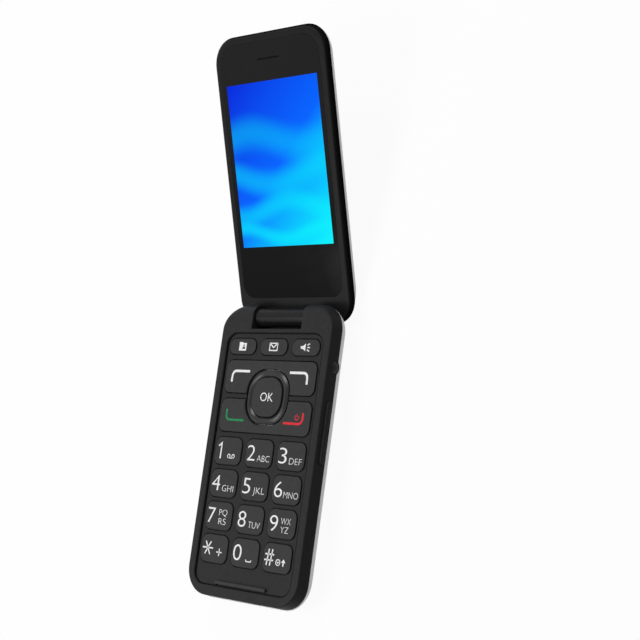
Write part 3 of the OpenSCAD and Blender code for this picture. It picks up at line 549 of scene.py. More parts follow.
class EffectLibrary:
    """Builds each shared node group once."""

    def __init__(self) -> None:
        """Starts with no groups."""
        self.groups: dict[SharedEffect, bpy.types.NodeTree] = {}

    def get(self, effect: SharedEffect) -> bpy.types.NodeTree:
        """Gives the group of one effect, building it the first time.

        Args:
            effect: The effect that is wanted.

        Returns:
            Its node group.
        """
        if effect not in self.groups:
            tree = bpy.data.node_groups.new(effect.value, "ShaderNodeTree")
            takes, gives = SOCKETS[effect]
            for name, kind, value in takes:
                tree.interface.new_socket(name, in_out="INPUT",
                                          socket_type=f"NodeSocket{kind}").default_value = value
            for name, kind in gives:
                tree.interface.new_socket(name, in_out="OUTPUT", socket_type=f"NodeSocket{kind}")
            sheet = NodeSheet(tree)
            source, sink = sheet.node("NodeGroupInput"), sheet.node("NodeGroupOutput")
            results = getattr(self, "_" + effect.name.lower())(sheet, source.outputs)
            for socket, result in zip(sink.inputs, results):
                tree.links.new(result, socket)
            self.groups[effect] = tree
        return self.groups[effect]

    @staticmethod
    def _place(sheet: NodeSheet, size: object, stretch: object = 1.0) -> Socket:
        """Gives Object coordinates scaled so that one unit is one grain; stretch lengthens it along Y."""
        spot = sheet.node("ShaderNodeTexCoord").outputs["Object"]
        each = sheet.math("DIVIDE", 1000.0, size)
        scale = sheet.node("ShaderNodeCombineXYZ", i0=each, i1=sheet.math("DIVIDE", each, stretch), i2=each)
        return sheet.node("ShaderNodeVectorMath", operation="MULTIPLY", i0=spot,
                          i1=scale.outputs[0]).outputs[0]

    def _grain(self, sheet: NodeSheet, given: object) -> tuple:
        """Fine moulded texture, and a slow mottle of the colour."""
        near = self._place(sheet, given["Size"], given["Stretch"])
        fine = sheet.node("ShaderNodeTexNoise", i0=near, i2=1.0, i3=3.0, i4=0.6)
        slow = sheet.node("ShaderNodeTexNoise", i0=near, i2=0.08, i3=2.0)
        mottle = sheet.math("ADD", sheet.math("MULTIPLY", fine.outputs[0], 0.5),
                            sheet.math("MULTIPLY", slow.outputs[0], 0.5))
        return fine.outputs[0], mottle

    def _smudge(self, sheet: NodeSheet, given: object) -> tuple:
        """Uneven gloss where fingers have been."""
        cloud = sheet.node("ShaderNodeTexNoise", i0=self._place(sheet, 14.0), i2=1.0, i3=4.0, i4=0.65)
        return (sheet.spread(cloud.outputs[0], 0.35, 0.68, given["Low"], given["High"]),)

    def _wear(self, sheet: NodeSheet, given: object) -> tuple:
        """Raised edges, broken up by a little noise."""
        edge = sheet.node("ShaderNodeNewGeometry").outputs["Pointiness"]
        chips = sheet.node("ShaderNodeTexNoise", i0=self._place(sheet, 1.6), i2=1.0, i3=5.0, i4=0.7)
        raised = sheet.spread(edge, 0.51, 0.58)
        broken = sheet.math("MULTIPLY", raised, sheet.spread(chips.outputs[0], 0.4, 0.65))
        return (sheet.math("MULTIPLY", broken, given["Amount"]),)

    def _spun(self, sheet: NodeSheet, given: object) -> tuple:
        """Turning marks around a middle point, and a painted highlight: bright wedges by angle round the
        middle.
        """
        spot = sheet.node("ShaderNodeTexCoord").outputs["Object"]
        parts = sheet.node("ShaderNodeSeparateXYZ", i0=spot)
        x = sheet.math("SUBTRACT", parts.outputs[0], given["Middle X"])
        y = sheet.math("SUBTRACT", parts.outputs[1], given["Middle Y"])
        density = sheet.math("DIVIDE", 2000 * math.pi, given["Pitch"])
        turns = sheet.math("MULTIPLY", sheet.length(x, y), density)
        marks = sheet.math("SINE", turns)
        angle = sheet.math("ARCTAN2", y, x)
        # Painted highlight: two bright lobes by angle round the middle.
        narrow, wide = (sheet.math("POWER", sheet.math("ABSOLUTE", sheet.math("SINE", sheet.math(
            "ADD", angle, turn))), power) for turn, power in ((0.9, 7.0), (2.2, 5.0)))
        return marks, sheet.math("ADD", narrow, sheet.math("MULTIPLY", wide, 0.5))

    def _holes(self, sheet: NodeSheet, given: object) -> tuple:
        """Round holes in a square grid."""
        spot = self._place(sheet, given["Pitch"])
        cell = sheet.node("ShaderNodeVectorMath", operation="FRACTION", i0=spot)
        away = sheet.node("ShaderNodeVectorMath", operation="SUBTRACT", i0=cell.outputs[0],
                          i1=(0.5, 0.5, 0.5))
        parts = sheet.node("ShaderNodeSeparateXYZ", i0=away.outputs[0])
        x, y = parts.outputs[0], parts.outputs[1]
        return (sheet.math("LESS_THAN", sheet.length(x, y), given["Hole"]),)

    def _wave(self, sheet: NodeSheet, given: object) -> tuple:
        """A soft band below a swinging line."""
        turn = sheet.math("MULTIPLY", sheet.math("ADD", sheet.math("MULTIPLY", given["U"], given["Turns"]),
                                                 given["Shift"]), 2 * math.pi)
        rise = sheet.math("MULTIPLY", sheet.math("SINE", turn), given["Swing"])
        line = sheet.math("ADD", given["Level"], rise)
        under = sheet.math("DIVIDE", sheet.math("SUBTRACT", line, given["V"]), given["Soft"])
        return (sheet.spread(under, 0.0, 1.0),)


EFFECTS = EffectLibrary()


class Pattern(Enum):
    """What a finish shows beyond its grain."""

    PLAIN = "plain"
    SPUN = "spun"
    HOLED = "holed"
    BRUSHED = "brushed"
    # Painted shade: the colour darkens along Object Y.
    FADED = "faded"


# Painted shade: the near black that stands in for the dark inside of holes.
HOLE_PAINTED_SHADE: Colour = (0.002, 0.002, 0.002)


@dataclass(frozen=True)
class Finish:
    """A finish of the phone: its colours, its gloss, its grain and its wear.

    The second colour shows where wear has worn the edges (real wear); it is also the painted highlight of the
    spun pattern and the painted shade at the near end of the fade along Y.
    """

    name: str
    colour: Colour
    shade: Colour
    gloss: tuple[float, float] = (0.4, 0.5)
    metallic: float = 0.0
    specular: float = 0.3
    coat: float = 0.0
    grain: float = 0.3
    relief: float = 0.1
    wear: float = 0.0
    # Colour of real edge wear, of the spun pattern's painted highlight and of the fade's painted shade.
    wear_and_painted_light: Colour = (0.2, 0.2, 0.2)
    pattern: Pattern = Pattern.PLAIN
    middle: Point = (0.0, 0.0)
    fade: Point = (0.0, 1.0)

    def material(self) -> bpy.types.Material:
        """Gives the material, building it the first time.

        Returns:
            The material of this finish.
        """
        known = bpy.data.materials.get(self.name)
        if known:
            return known
        made, sheet, shader = new_material(self.name)
        stretch = 14.0 if self.pattern is Pattern.BRUSHED else 1.0
        grain = sheet.effect(SharedEffect.GRAIN, Size=self.grain, Stretch=stretch)
        colour = sheet.blend(sheet.spread(grain.outputs["Mottle"], 0.36, 0.64), self.colour, self.shade)
        height, strength = grain.outputs["Height"], self.relief
        if self.pattern is Pattern.SPUN:
            spun = sheet.effect(SharedEffect.SPUN, Middle_X=self.middle[0], Middle_Y=self.middle[1],
                                Pitch=0.22)
            # Painted highlight: the bright wedges are blended into the colour in the lighter second colour.
            colour = sheet.blend(spun.outputs["Painted Highlight"], colour, self.wear_and_painted_light)
            height = spun.outputs["Height"]
        elif self.pattern is Pattern.HOLED:
            holes = sheet.effect(SharedEffect.HOLES, Pitch=0.34, Hole=0.3)
            # Painted shade in the holes.
            colour = sheet.blend(holes.outputs["Mask"], colour, HOLE_PAINTED_SHADE)
            height, strength = sheet.math("SUBTRACT", 1.0, holes.outputs["Mask"]), 0.5
        elif self.pattern is Pattern.FADED:
            spot = sheet.node("ShaderNodeSeparateXYZ", i0=sheet.node("ShaderNodeTexCoord").outputs["Object"])
            # Painted shade: below the span along Object Y the colour turns to the darker second colour, so
            # the window darkens towards the hinge end.
            colour = sheet.blend(sheet.spread(spot.outputs[1], *self.fade), self.wear_and_painted_light, colour)
        if self.wear:
            worn = sheet.effect(SharedEffect.WEAR, Amount=self.wear)
            colour = sheet.blend(worn.outputs["Mask"], colour, self.wear_and_painted_light)
        smudge = sheet.effect(SharedEffect.SMUDGE, Low=self.gloss[0], High=self.gloss[1])
        bump = sheet.fill(sheet.node("ShaderNodeBump"), Strength=strength, Distance=self.grain * MM * 0.3,
                          Height=height)
        sheet.fill(shader, Base_Color=colour, Roughness=smudge.outputs["Roughness"], Normal=bump.outputs[0],
                   Metallic=self.metallic, Specular_IOR_Level=self.specular, Coat_Weight=self.coat,
                   Coat_Roughness=0.12)
        return made


@dataclass(frozen=True)
class LitPicture:
    """The lit picture area: a plain run of blues crossed by soft waves."""

    name: str = "lit_picture"
    deep: Colour = tone(0, 36, 222)
    middle: Colour = tone(0, 100, 255)
    bright: Colour = tone(0, 247, 255)
    unlit: Colour = (0.001, 0.003, 0.02)
    waves: tuple[tuple[float, ...], ...] = (  # level, swing, turns, shift, softness, share
        (0.80, 0.050, 0.8, 0.10, 0.30, 0.26), (0.56, 0.060, 0.7, 0.46, 0.24, 0.34),
        (0.33, 0.045, 0.9, 0.72, 0.20, 0.42), (0.15, 0.035, 1.1, 0.20, 0.14, 0.50))

    def material(self) -> bpy.types.Material:
        """Builds the picture's material from its UV map."""
        made, sheet, shader = new_material(self.name)
        spot = sheet.node("ShaderNodeUVMap", uv_map="UVMap")
        parts = sheet.node("ShaderNodeSeparateXYZ", i0=spot.outputs[0])
        u, v = parts.outputs[0], parts.outputs[1]
        fall = sheet.math("ADD", sheet.math("MULTIPLY", u, 0.42),
                          sheet.math("MULTIPLY", sheet.math("SUBTRACT", 1.0, v), 0.58))
        ramp = sheet.node("ShaderNodeValToRGB", i0=fall)
        ramp.color_ramp.elements[0].color = (*self.deep, 1)
        ramp.color_ramp.elements[1].color = (*self.bright, 1)
        ramp.color_ramp.elements.new(0.5).color = (*self.middle, 1)
        colour = ramp.outputs[0]
        for level, swing, turns, shift, soft, share in self.waves:
            wave = sheet.effect(SharedEffect.WAVE, U=u, V=v, Level=level, Swing=swing, Turns=turns,
                                Shift=shift, Soft=soft)
            mask = wave.outputs["Mask"]
            edge = sheet.math("MULTIPLY", mask, sheet.math("SUBTRACT", 1.0, mask))
            colour = sheet.blend(sheet.math("MULTIPLY", edge, share * 4), colour, self.bright)
        sheet.fill(shader, Emission_Color=colour, Emission_Strength=0.97, Base_Color=self.unlit,
                   Roughness=0.14, Specular_IOR_Level=0.02)
        return made


TRIM_MIDDLE: Point = (0.0, 0.030075)


class Finishes:
    """The phone's finishes by name."""

    housing = Finish("housing_black", tone(48, 48, 49), tone(44, 44, 45), (0.42, 0.52), specular=0.05,
                     grain=0.16, relief=0.22, wear=0.10, wear_and_painted_light=tone(72, 72, 74))
    panel = Finish("panel_charcoal", tone(47, 47, 48), tone(43, 43, 44), (0.40, 0.5), specular=0.05,
                   grain=0.13, relief=0.16)
    keys = Finish("key_charcoal", tone(59, 59, 60), tone(55, 55, 56), (0.36, 0.46), specular=0.06,
                  grain=0.12, relief=0.12, wear=0.12, wear_and_painted_light=tone(84, 84, 86))
    bezel = Finish("bezel_black", tone(31, 31, 32), tone(28, 28, 29), (0.30, 0.38), specular=0.05,
                   grain=0.16, relief=0.08, wear=0.10, wear_and_painted_light=tone(58, 58, 60))
    # Partly painted shade: the lid's black plastic, made darker still for the shade under the lid.
    barrel = Finish("barrel_black_painted_shade", tone(27, 27, 28), tone(23, 23, 24), (0.26, 0.32), specular=0.12,
                    grain=0.16, relief=0.06)
    ring = Finish("ring_gloss_black", tone(20, 20, 21), tone(16, 16, 17), (0.25, 0.31), specular=0.3,
                  coat=0.05, grain=0.2, relief=0.02)
    silver = Finish("cover_silver_paint", tone(204, 204, 206), tone(196, 196, 199), (0.60, 0.66),
                    metallic=0.7, specular=0.2, coat=0.0, grain=0.09, relief=0.05, wear=0.15,
                    wear_and_painted_light=tone(218, 218, 221))
    # Painted shade: the recess lining is darker than the housing, for the shade in the recess.
    rim = Finish("recess_painted_shade", tone(30, 30, 31), tone(26, 26, 27), (0.3, 0.4), specular=0.08,
                 grain=0.16, relief=0.14)
    # Painted highlight: bright wedges round the trim's middle, in the lighter second colour.
    spun = Finish("trim_spun_black", tone(42, 42, 44), tone(36, 36, 38), (0.26, 0.36), metallic=0.3,
                  specular=0.2, grain=0.2, relief=0.22, wear_and_painted_light=tone(108, 108, 112), pattern=Pattern.SPUN,
                  middle=TRIM_MIDDLE)
    # Painted shade: the window glass darkens towards the hinge end.
    glass = Finish("window_black_glass", tone(33, 33, 34), tone(31, 31, 32), (0.08, 0.14), specular=0.04,
                   grain=2.0, relief=0.0, wear_and_painted_light=tone(17, 17, 18), pattern=Pattern.FADED,
                   fade=(0.05, 0.135))
    lens = Finish("lens_dark_glass", tone(8, 8, 14), tone(14, 10, 22), (0.03, 0.06), specular=0.5,
                  coat=0.5, grain=1.0, relief=0.0)
    lamp = Finish("lamp_clear", tone(235, 232, 205), tone(215, 208, 170), (0.12, 0.2), specular=0.5,
                  grain=0.5, relief=0.3)
    white_print = Finish("print_white", tone(238, 238, 238), tone(228, 228, 229), (0.4, 0.5),
                         specular=0.2, grain=0.1, relief=0.05)
    green_print = Finish("print_green", tone(22, 138, 82), tone(16, 120, 70), (0.4, 0.5), specular=0.2,
                         grain=0.1, relief=0.05)
    red_print = Finish("print_red", tone(226, 44, 54), tone(205, 36, 46), (0.4, 0.5), specular=0.2,
                       grain=0.1, relief=0.05)
    steel = Finish("steel_satin", tone(176, 176, 178), tone(158, 158, 160), (0.24, 0.36), metallic=1.0,
                   grain=0.15, relief=0.15, pattern=Pattern.BRUSHED)
    tin = Finish("shield_tinned", tone(188, 188, 184), tone(170, 170, 166), (0.32, 0.48), metallic=1.0,
                 grain=0.6, relief=0.12)
    gold = Finish("contact_gold", tone(224, 184, 96), tone(205, 162, 74), (0.2, 0.3), metallic=1.0,
                  grain=0.2, relief=0.08)
    brass = Finish("bush_brass", tone(196, 160, 84), tone(178, 142, 70), (0.26, 0.36), metallic=1.0,
                   grain=0.15, relief=0.12, pattern=Pattern.BRUSHED)
    board = Finish("board_green_mask", tone(22, 92, 52), tone(16, 78, 44), (0.3, 0.42), specular=0.4,
                   grain=1.2, relief=0.25)
    silicone = Finish("silicone_milky", tone(196, 196, 190), tone(184, 184, 178), (0.5, 0.62),
                      specular=0.35, grain=0.5, relief=0.2)
    inner = Finish("inner_black_moulding", tone(30, 30, 31), tone(25, 25, 26), (0.5, 0.62), specular=0.08,
                   grain=0.35, relief=0.35)
    # Partly painted shade: a black moulding made darker than the other inner mouldings, so the gap round the
    # ring reads dark.
    platform = Finish("platform_black_painted_shade", tone(22, 22, 23), tone(18, 18, 19), (0.5, 0.6), specular=0.03,
                      grain=0.3, relief=0.2)
    wrap = Finish("battery_black_wrap", tone(34, 34, 37), tone(28, 28, 31), (0.28, 0.4), specular=0.4,
                  grain=3.0, relief=0.12)
    diffuser = Finish("light_guide_white", tone(236, 236, 232), tone(226, 226, 222), (0.4, 0.5),
                      specular=0.3, grain=0.5, relief=0.08)
    glass_panel = Finish("panel_glass_dark", tone(20, 34, 66), tone(16, 28, 56), (0.1, 0.16),
                         specular=0.5, grain=1.5, relief=0.0)
    # Painted shade: a dark skin without reflection over the lid's rounded edge, where the light falls away.
    band = Finish("band_painted_shade", tone(27, 27, 28), tone(23, 23, 24), (0.24, 0.3), specular=0.0,
                  grain=0.16, relief=0.04)
    # Painted light: grey for the lit lower wall inside the socket's mouth.
    sleeve = Finish("socket_mouth_painted_light", tone(150, 150, 152), tone(138, 138, 140), (0.34, 0.42), specular=0.2,
                    grain=0.16, relief=0.06)
    mesh = Finish("earpiece_black_mesh", tone(12, 12, 13), tone(8, 8, 9), (0.4, 0.5), specular=0.03,
                  grain=0.2, relief=0.2, pattern=Pattern.HOLED)
    magnet = Finish("magnet_nickel", tone(180, 178, 172), tone(164, 162, 156), (0.2, 0.32), metallic=1.0,
                    grain=0.4, relief=0.1)


# ---------------------------------------------------------------- keypad half


@dataclass
class KeypadHalf:
    """Front housing, cover and what sits in their walls."""

    hinge: HingeFrame
    half: float = 26.4
    reach: float = 98.0
    corner: float = 9.2
    nose: float = 4.25
    height: float = 7.6
    top: float = 4.2
    wall: float = 1.25
    skirt_wall: float = 0.95
    seam: float = -0.75
    tip: float = 0.35
    cover_wall: float = 1.0
    side_round: float = 11.0
    end_round: float = 8.0
    heel: float = 20.0
    blend: float = 20.0
    recess: float = 11.7
    recess_y: float = -4.75
    rim: float = 1.2
    panel: Triple = (45.7, 87.6, 4.5)
    trough: Triple = (3.65, -2.0, -0.76)
    panel_row: float = 49.9
    panel_span: tuple[float, float] = (2.7, 3.5)
    jack: Triple = (17.1, 0.5, 1.8)
    volume: Triple = (39.0, 21.0, 1.8)
    trim: Triple = (16.8, 29.0, 10.5)
    usb_row: float = 35.0
    usb_z: float = -2.15
    contact_x: float = 7.9
    notch: Triple = (2.4, 4.4, 1.4)
    rest_bar: Triple = (24.0, 1.2, 92.35)
    nail: tuple[float, float] = (1.5, -5.9)
    seam_gap: float = 0.15
    mouth_splay: float = 0.9
    key_z: float = 0.45

    def maker(self) -> PieceMaker:
        """Gives the maker of this half's pieces."""
        return PieceMaker(self.hinge.keypad(), KEYPAD_BODY)

    def hinge_end(self, z: float, drawn: float = 0.0) -> float:
        """Finds where the half ends towards the hinge, at one height.

        Args:
            z: The height.
            drawn: How far inside the outer surface.

        Returns:
            The Y of the end.
        """
        r, flat, lean = self.nose - drawn, self.height - drawn, math.radians(self.heel)
        if z >= -r * math.cos(lean):
            return math.sqrt(max(0.0, r * r - z * z))
        middle = self.blend - flat
        if z >= middle - self.blend * math.cos(lean):
            return (r + math.cos(lean) * z) / math.sin(lean)
        y = (r - self.blend - math.cos(lean) * (flat - self.blend)) / math.sin(lean)
        return y + math.sqrt(max(0.0, self.blend ** 2 - (z - middle) ** 2))

    def level(self, z: float, side: float, end: float, drawn: float, recess: float, recess_y: float,
              splay: float = 0.0, trim: float = 0.0) -> Level:
        """Cuts the half at one height.

        Args:
            z: The height.
            side: How far the sides stand in.
            end: How far the far end stands in.
            drawn: How far inside the outer surface.
            recess: Half width of the recess.
            recess_y: Its front.
            splay: How much it widens towards the hinge.
            trim: A little more taken off all round, for a seam.

        Returns:
            The cut.
        """
        near = self.hinge_end(z, drawn) - trim
        round_off = max(5.0, self.corner - 0.9 * (self.nose - drawn - near)) - drawn
        part = max(0.0, near - recess_y) / 11.35
        return Level(z, self.half - side - trim, end + trim - self.reach, near, self.corner - drawn,
                     round_off, recess, recess_y, splay * part)

    def front_housing(self) -> Solid:
        """Builds the dark front housing with its panel bed and hollow inside."""
        low, clear = self.seam + 0.05, self.rim + self.seam_gap
        outer = [(0.0, 0.0, 0, 0), (0.14, 0.01, 0, 0), (0.9, 0.10, 0, 0), (1.8, 0.20, 0, 0),
                 (2.6, 0.30, 0, 0), (3.2, 0.36, 0, 0), (3.6, 0.41, 0, 0), (3.8, 0.45, 0, 0.01),
                 (3.94, 0.51, 0, 0.03), (4.05, 0.59, 0, 0.07), (4.13, 0.70, 0, 0.13), (4.18, 0.84, 0, 0.2),
                 (self.top, 1.0, 0, 0.3)]
        rings = [self.level(z, 0.0, self.tip, 0.0, self.recess + clear, self.recess_y - clear,
                            splay=self.mouth_splay, trim=trim).ring()
                 for z, trim in ((low, 0.1), (low + 0.1, 0.0), (-0.02, 0.0))]
        rings += [self.level(z, side, side + self.tip, 0.0, self.recess + grow, self.recess_y - grow,
                             trim=trim).ring() for z, side, trim, grow in outer]
        width, depth, radius = self.panel
        bed, ledge = self.panel_span[0], 0.8
        for z, grow in ((self.top, 0.4), (4.17, 0.3), (3.95, 0.03), (3.85, 0.0), (bed, 0.0), (bed, -ledge),
                        (bed - ledge, -ledge)):
            near = -self.panel_row + depth / 2 + grow
            far = -self.panel_row - depth / 2 - grow
            rings.append(Level(z, width / 2 + grow, far, near, radius + grow, radius + grow, self.recess,
                               near, 1.5).ring())
        inner = ((bed - ledge, 0.22, self.wall, 0.0), (0.06, 0.01, self.wall, 0.0),
                 (0.02, 0.0, self.skirt_wall, clear), (low, 0.0, self.skirt_wall, clear))
        for z, side, wall, grow in inner:
            rings.append(self.level(z, side + wall, side + wall, wall, self.recess + wall + grow,
                                    self.recess_y - wall - grow,
                                    splay=self.mouth_splay if grow else 0.0).ring())
        return carved(lofted(rings, closed=True),
                      [self.jack_bore(2.22), self.volume_slot(), *self.contact_notches()])

    def cover(self) -> Solid:
        """Builds the silver cover: a thin shell round at its sides and sloped at its hinge end."""
        rings: list[Ring] = []
        turns = [math.radians(t) for t in (90, 84, 78, 72, 66, 60, 53, 46, 39, 32, 25, 18, 12, 7.6)]
        for drawn in (self.cover_wall, 0.0):
            clear = self.rim + self.seam_gap + drawn
            mouth = {"drawn": drawn, "recess": self.recess + clear, "recess_y": self.recess_y - clear,
                     "splay": self.mouth_splay}
            made = [self.level((drawn - self.height) * math.sin(a),
                               drawn + self.side_round * (1 - math.cos(a)),
                               drawn + self.end_round * (1 - math.cos(a)), **mouth).ring() for a in turns]
            edge = drawn + 0.05
            made.append(self.level(self.seam - 0.02, edge, edge, trim=0.0 if drawn else 0.1, **mouth).ring())
            rings += made if drawn else list(reversed(made))
        row, length, width = self.trim
        radius, low = self.nail
        port = placed(slab(round_rectangle(8.3, 3.2, 1.3), -2.0, 5.0),
                      Matrix.Translation((-28.0, -self.usb_row, self.usb_z)) @ QUARTER_Y
                      @ Matrix.Rotation(math.pi / 2, 4, "Z"))
        nail = turned([(0, -2), (radius, -2), (radius, 0), (0, 0)],
                      Matrix.Translation((0, self.recess_y - self.rim - 0.4, low)), 24)
        return carved(lofted(rings), [slab(round_rectangle(length, width, width / 2, (0, -row)), -9.0, -5.0),
                                      nail, port, self.jack_bore(2.26), *self.contact_notches()])

    def jack_bore(self, radius: float) -> Solid:
        """Gives the round cut for the headphone socket."""
        row, z, _ = self.jack
        return turned([(0, 22.0), (radius, 22.0), (radius, 30.0), (0, 30.0)], self.on_side(row, z))

    def volume_slot(self) -> Solid:
        """Gives the cut that the volume key moves in."""
        row, length, width = self.volume
        return placed(slab(round_rectangle(width + 0.3, length + 0.3, (width + 0.3) / 2), 23.0, 29.0),
                      self.on_side(row, self.key_z + width / 2))

    def on_side(self, row: float, z: float) -> Matrix:
        """Turns a form drawn flat so that it looks out of the right-hand wall."""
        return Matrix.Translation((0, -row, z)) @ QUARTER_Y

    def contact_notches(self) -> list[Solid]:
        """Gives the cuts over both charging contacts."""
        wide, high, middle = self.notch
        return [placed(slab(round_rectangle(wide, high, 0.5), -2.0, 1.5),
                       Matrix.Translation((x, -self.reach, middle)) @ Matrix.Rotation(math.pi / 2, 4, "X"))
                for x in (-self.contact_x, self.contact_x)]

    def recess_rim(self) -> Solid:
        """Builds the wall that lines the recess under the barrel; its darker finish is painted shade."""
        wide, front = self.recess + self.rim, self.recess_y - self.rim
        outline = [(-wide, front), (wide, front), (wide + self.mouth_splay, 5.2),
                   (self.recess, 5.2), (self.recess, self.recess_y), (-self.recess, self.recess_y),
                   (-self.recess, 5.2), (-wide - self.mouth_splay, 5.2)]
        side: list[Point] = [(-9.0, 0.02)]
        heights = [0.02, -0.6, -1.2, -1.8, -2.4, -3.0, -3.6, -3.9, -4.6, -5.4, -6.2, -6.6, -6.9, -7.2, -7.4]
        side += [(self.hinge_end(z, 0.08), z) for z in heights]
        side += [(-9.0, -7.45)]
        bm = carved(slab(outline, -8.0, 0.02), [placed(slab(side, -20.0, 20.0), SIDE_ON)], Cut.SHARED)
        sharp = [e for e in bm.edges if len(e.link_faces) == 2 and e.calc_face_angle(0.0) > 0.7]
        bmesh.ops.bevel(bm, geom=sharp, offset=0.14, offset_type="OFFSET", segments=2, profile=0.5,
                        affect="EDGES", material=-1, clamp_overlap=True)
        return carved(bm, [self.recess_trough()], Cut.TOGETHER)

    def recess_trough(self) -> Solid:
        """Gives the channel that closes the recess below the barrel, in the lining's painted shade."""
        radius, stop, top = self.trough
        begin = self.recess_y - 0.3
        start = 180 + math.degrees(math.asin(-top / radius))
        last = 180 + math.degrees(math.acos(-stop / radius))
        side = [(begin, top), *arc((0, 0), radius, start, last, 12),
                (stop, -math.sqrt(radius ** 2 - stop ** 2))]
        heights = (-5.1, -5.5, -5.9, -6.2)
        side += [(stop, -4.9), *((min(stop, self.hinge_end(z, 0.1)), z) for z in heights), (begin, -6.25)]
        return placed(slab(side, -self.recess - 0.3, self.recess + 0.3), SIDE_ON)

    def socket(self) -> Solid:
        """Turns the headphone socket with its rounded rim."""
        row, z, bore = self.jack
        profile = [(0, 12.7), (bore, 12.7), (bore, 26.0), (1.86, 26.2), (1.96, 26.32), (2.06, 26.34),
                   (2.13, 26.28), (2.15, 26.15), (2.15, 24.8), (2.05, 24.7), (2.05, 11.9), (0, 11.9)]
        return turned(profile, self.on_side(row, z), 56)

    def sleeve(self) -> Solid:
        """Turns the sleeve that lines the mouth of the headphone socket; its grey is painted light on the
        bore's lower wall.
        """
        row, z, bore = self.jack
        profile = [(bore - 0.01, 18.9), (bore - 0.01, 26.05), (bore - 0.06, 26.02), (bore - 0.06, 19.8),
                   (bore - 0.2, 19.4), (bore - 0.06, 18.9)]
        return turned(profile, self.on_side(row, z), 56)

    def volume_key(self) -> Solid:
        """Builds the volume key with a dip in its middle."""
        row, length, width = self.volume
        low, high, edge = 24.1, 27.0, 0.45
        bar = stacked([(width, length, width / 2, low), (width, length, width / 2, high - edge),
                       *rounded_top(width, length, width / 2, high, edge)])
        foot = stacked([(2.3, 22.2, 0.3, low), (2.3, 22.2, 0.3, low + 0.5)])
        dip = turned([(0, -3), (3.0, -3), (3.0, 3), (0, 3)],
                     Matrix.Translation((0, 0, high + 2.82)) @ QUARTER_Y, 64)
        return placed(carved(carved(bar, [foot], Cut.TOGETHER), [dip]),
                      self.on_side(row, self.key_z + width / 2))

    def speaker_trim(self) -> Solid:
        """Builds the loudspeaker trim: a slightly dished pill with a slot, and its lip inside the cover."""
        row, length, width = self.trim
        place = (0, -row)
        w, d = length - 0.2, width - 0.2
        pill = stacked([(w + 1.4, d + 1.4, 5.8, -6.2), (w + 1.4, d + 1.4, 5.8, -6.5), (w, d, d / 2, -6.5),
                        (w, d, d / 2, -7.3), (w - 0.12, d - 0.12, d / 2, -7.45),
                        (w - 0.4, d - 0.4, d / 2, -7.5), (w - 0.9, d - 0.9, d / 2, -7.47),
                        (w - 1.3, d - 1.3, d / 2, -7.36)], place, 12)
        return carved(pill, [slab(round_rectangle(length - 8, 1.6, 0.8, place), -9.0, -5.0)])

    def build(self) -> None:
        """Builds and dresses every piece of the half but its keys."""
        make = self.maker()
        black = "black_housing"
        make.add("front_housing_shell", self.front_housing(), Finishes.housing.material(), black,
                 ["base_front_housing"])
        make.add("back_cover", self.cover(), Finishes.silver.material(), "silver_cover", ["battery_cover"])
        # Painted shade in the recess under the barrel.
        make.add("recess_rim", self.recess_rim(), Finishes.rim.material(), black)
        make.add("socket_barrel", self.socket(), Finishes.housing.material(), black, ["headphone_jack"])
        # Painted light inside the socket's mouth.
        make.add("socket_lining_painted_light", self.sleeve(), Finishes.sleeve.material(), "steel")
        make.add("volume_bar", self.volume_key(), Finishes.housing.material(), black, ["volume_key"],
                 body="volume_key")
        make.add("speaker_grille", self.speaker_trim(), Finishes.spun.material(), black, ["speaker_trim"])
        length, width, row = self.rest_bar
        bar = stacked([(length, width, width / 2, self.panel_span[1] - 0.02), (length, width, width / 2, 4.2),
                       *rounded_top(length, width, width / 2, 4.45, 0.25)], (0, -row))
        make.add("rest_bar_pad", bar, Finishes.keys.material(), "black_panel", ["rest_bar"])
        tongue = slab(round_rectangle(4.2, 3.8, 0.15, (-23.6, -self.usb_row)), -2.3, -1.75, edge=0.08)
        make.add("usb_tongue", tongue, Finishes.inner.material(), "inner_black")


# ---------------------------------------------------------------- keys and their legends


@dataclass(frozen=True)
class Mark:
    """One printed sign on a key: a text or a set of strokes, placed from the key's middle."""

    x: float
    y: float
    text: str = ""
    high: float = 0.0
    thin: float = 0.0
    strokes: tuple[tuple[tuple[Point, ...], bool], ...] = ()
    line: float = 0.42
    wide: float = 0.0
    fills: tuple[tuple[Point, ...], ...] = ()
    gaps: tuple[tuple[Point, ...], ...] = ()


def circle(middle: Point, radius: float, steps: int = 20) -> tuple[Point, ...]:
    """Points all round a circle."""
    return tuple(arc(middle, radius, 0, 360, steps))


def bend(corner: Point, radius: float, start: float, stop: float) -> tuple[Point, ...]:
    """Points on the bend of a stroke, its last one too."""
    return tuple(arc(corner, radius, start, stop, 7)) + tuple(arc(corner, radius, stop, stop + 1, 1))


def letters(word: str, wide: float = 6.0, x: float = 2.35, y: float = -1.65) -> Mark:
    """The small letters beside a number, drawn to a given width."""
    return Mark(x, y, word, 2.3, 0.16, wide=wide)


def number(digit: str, wide: float = 3.7) -> Mark:
    """The large number of a key, drawn to a given width."""
    return Mark(-3.55, 0.0, digit, 5.7, 0.1, wide=wide)


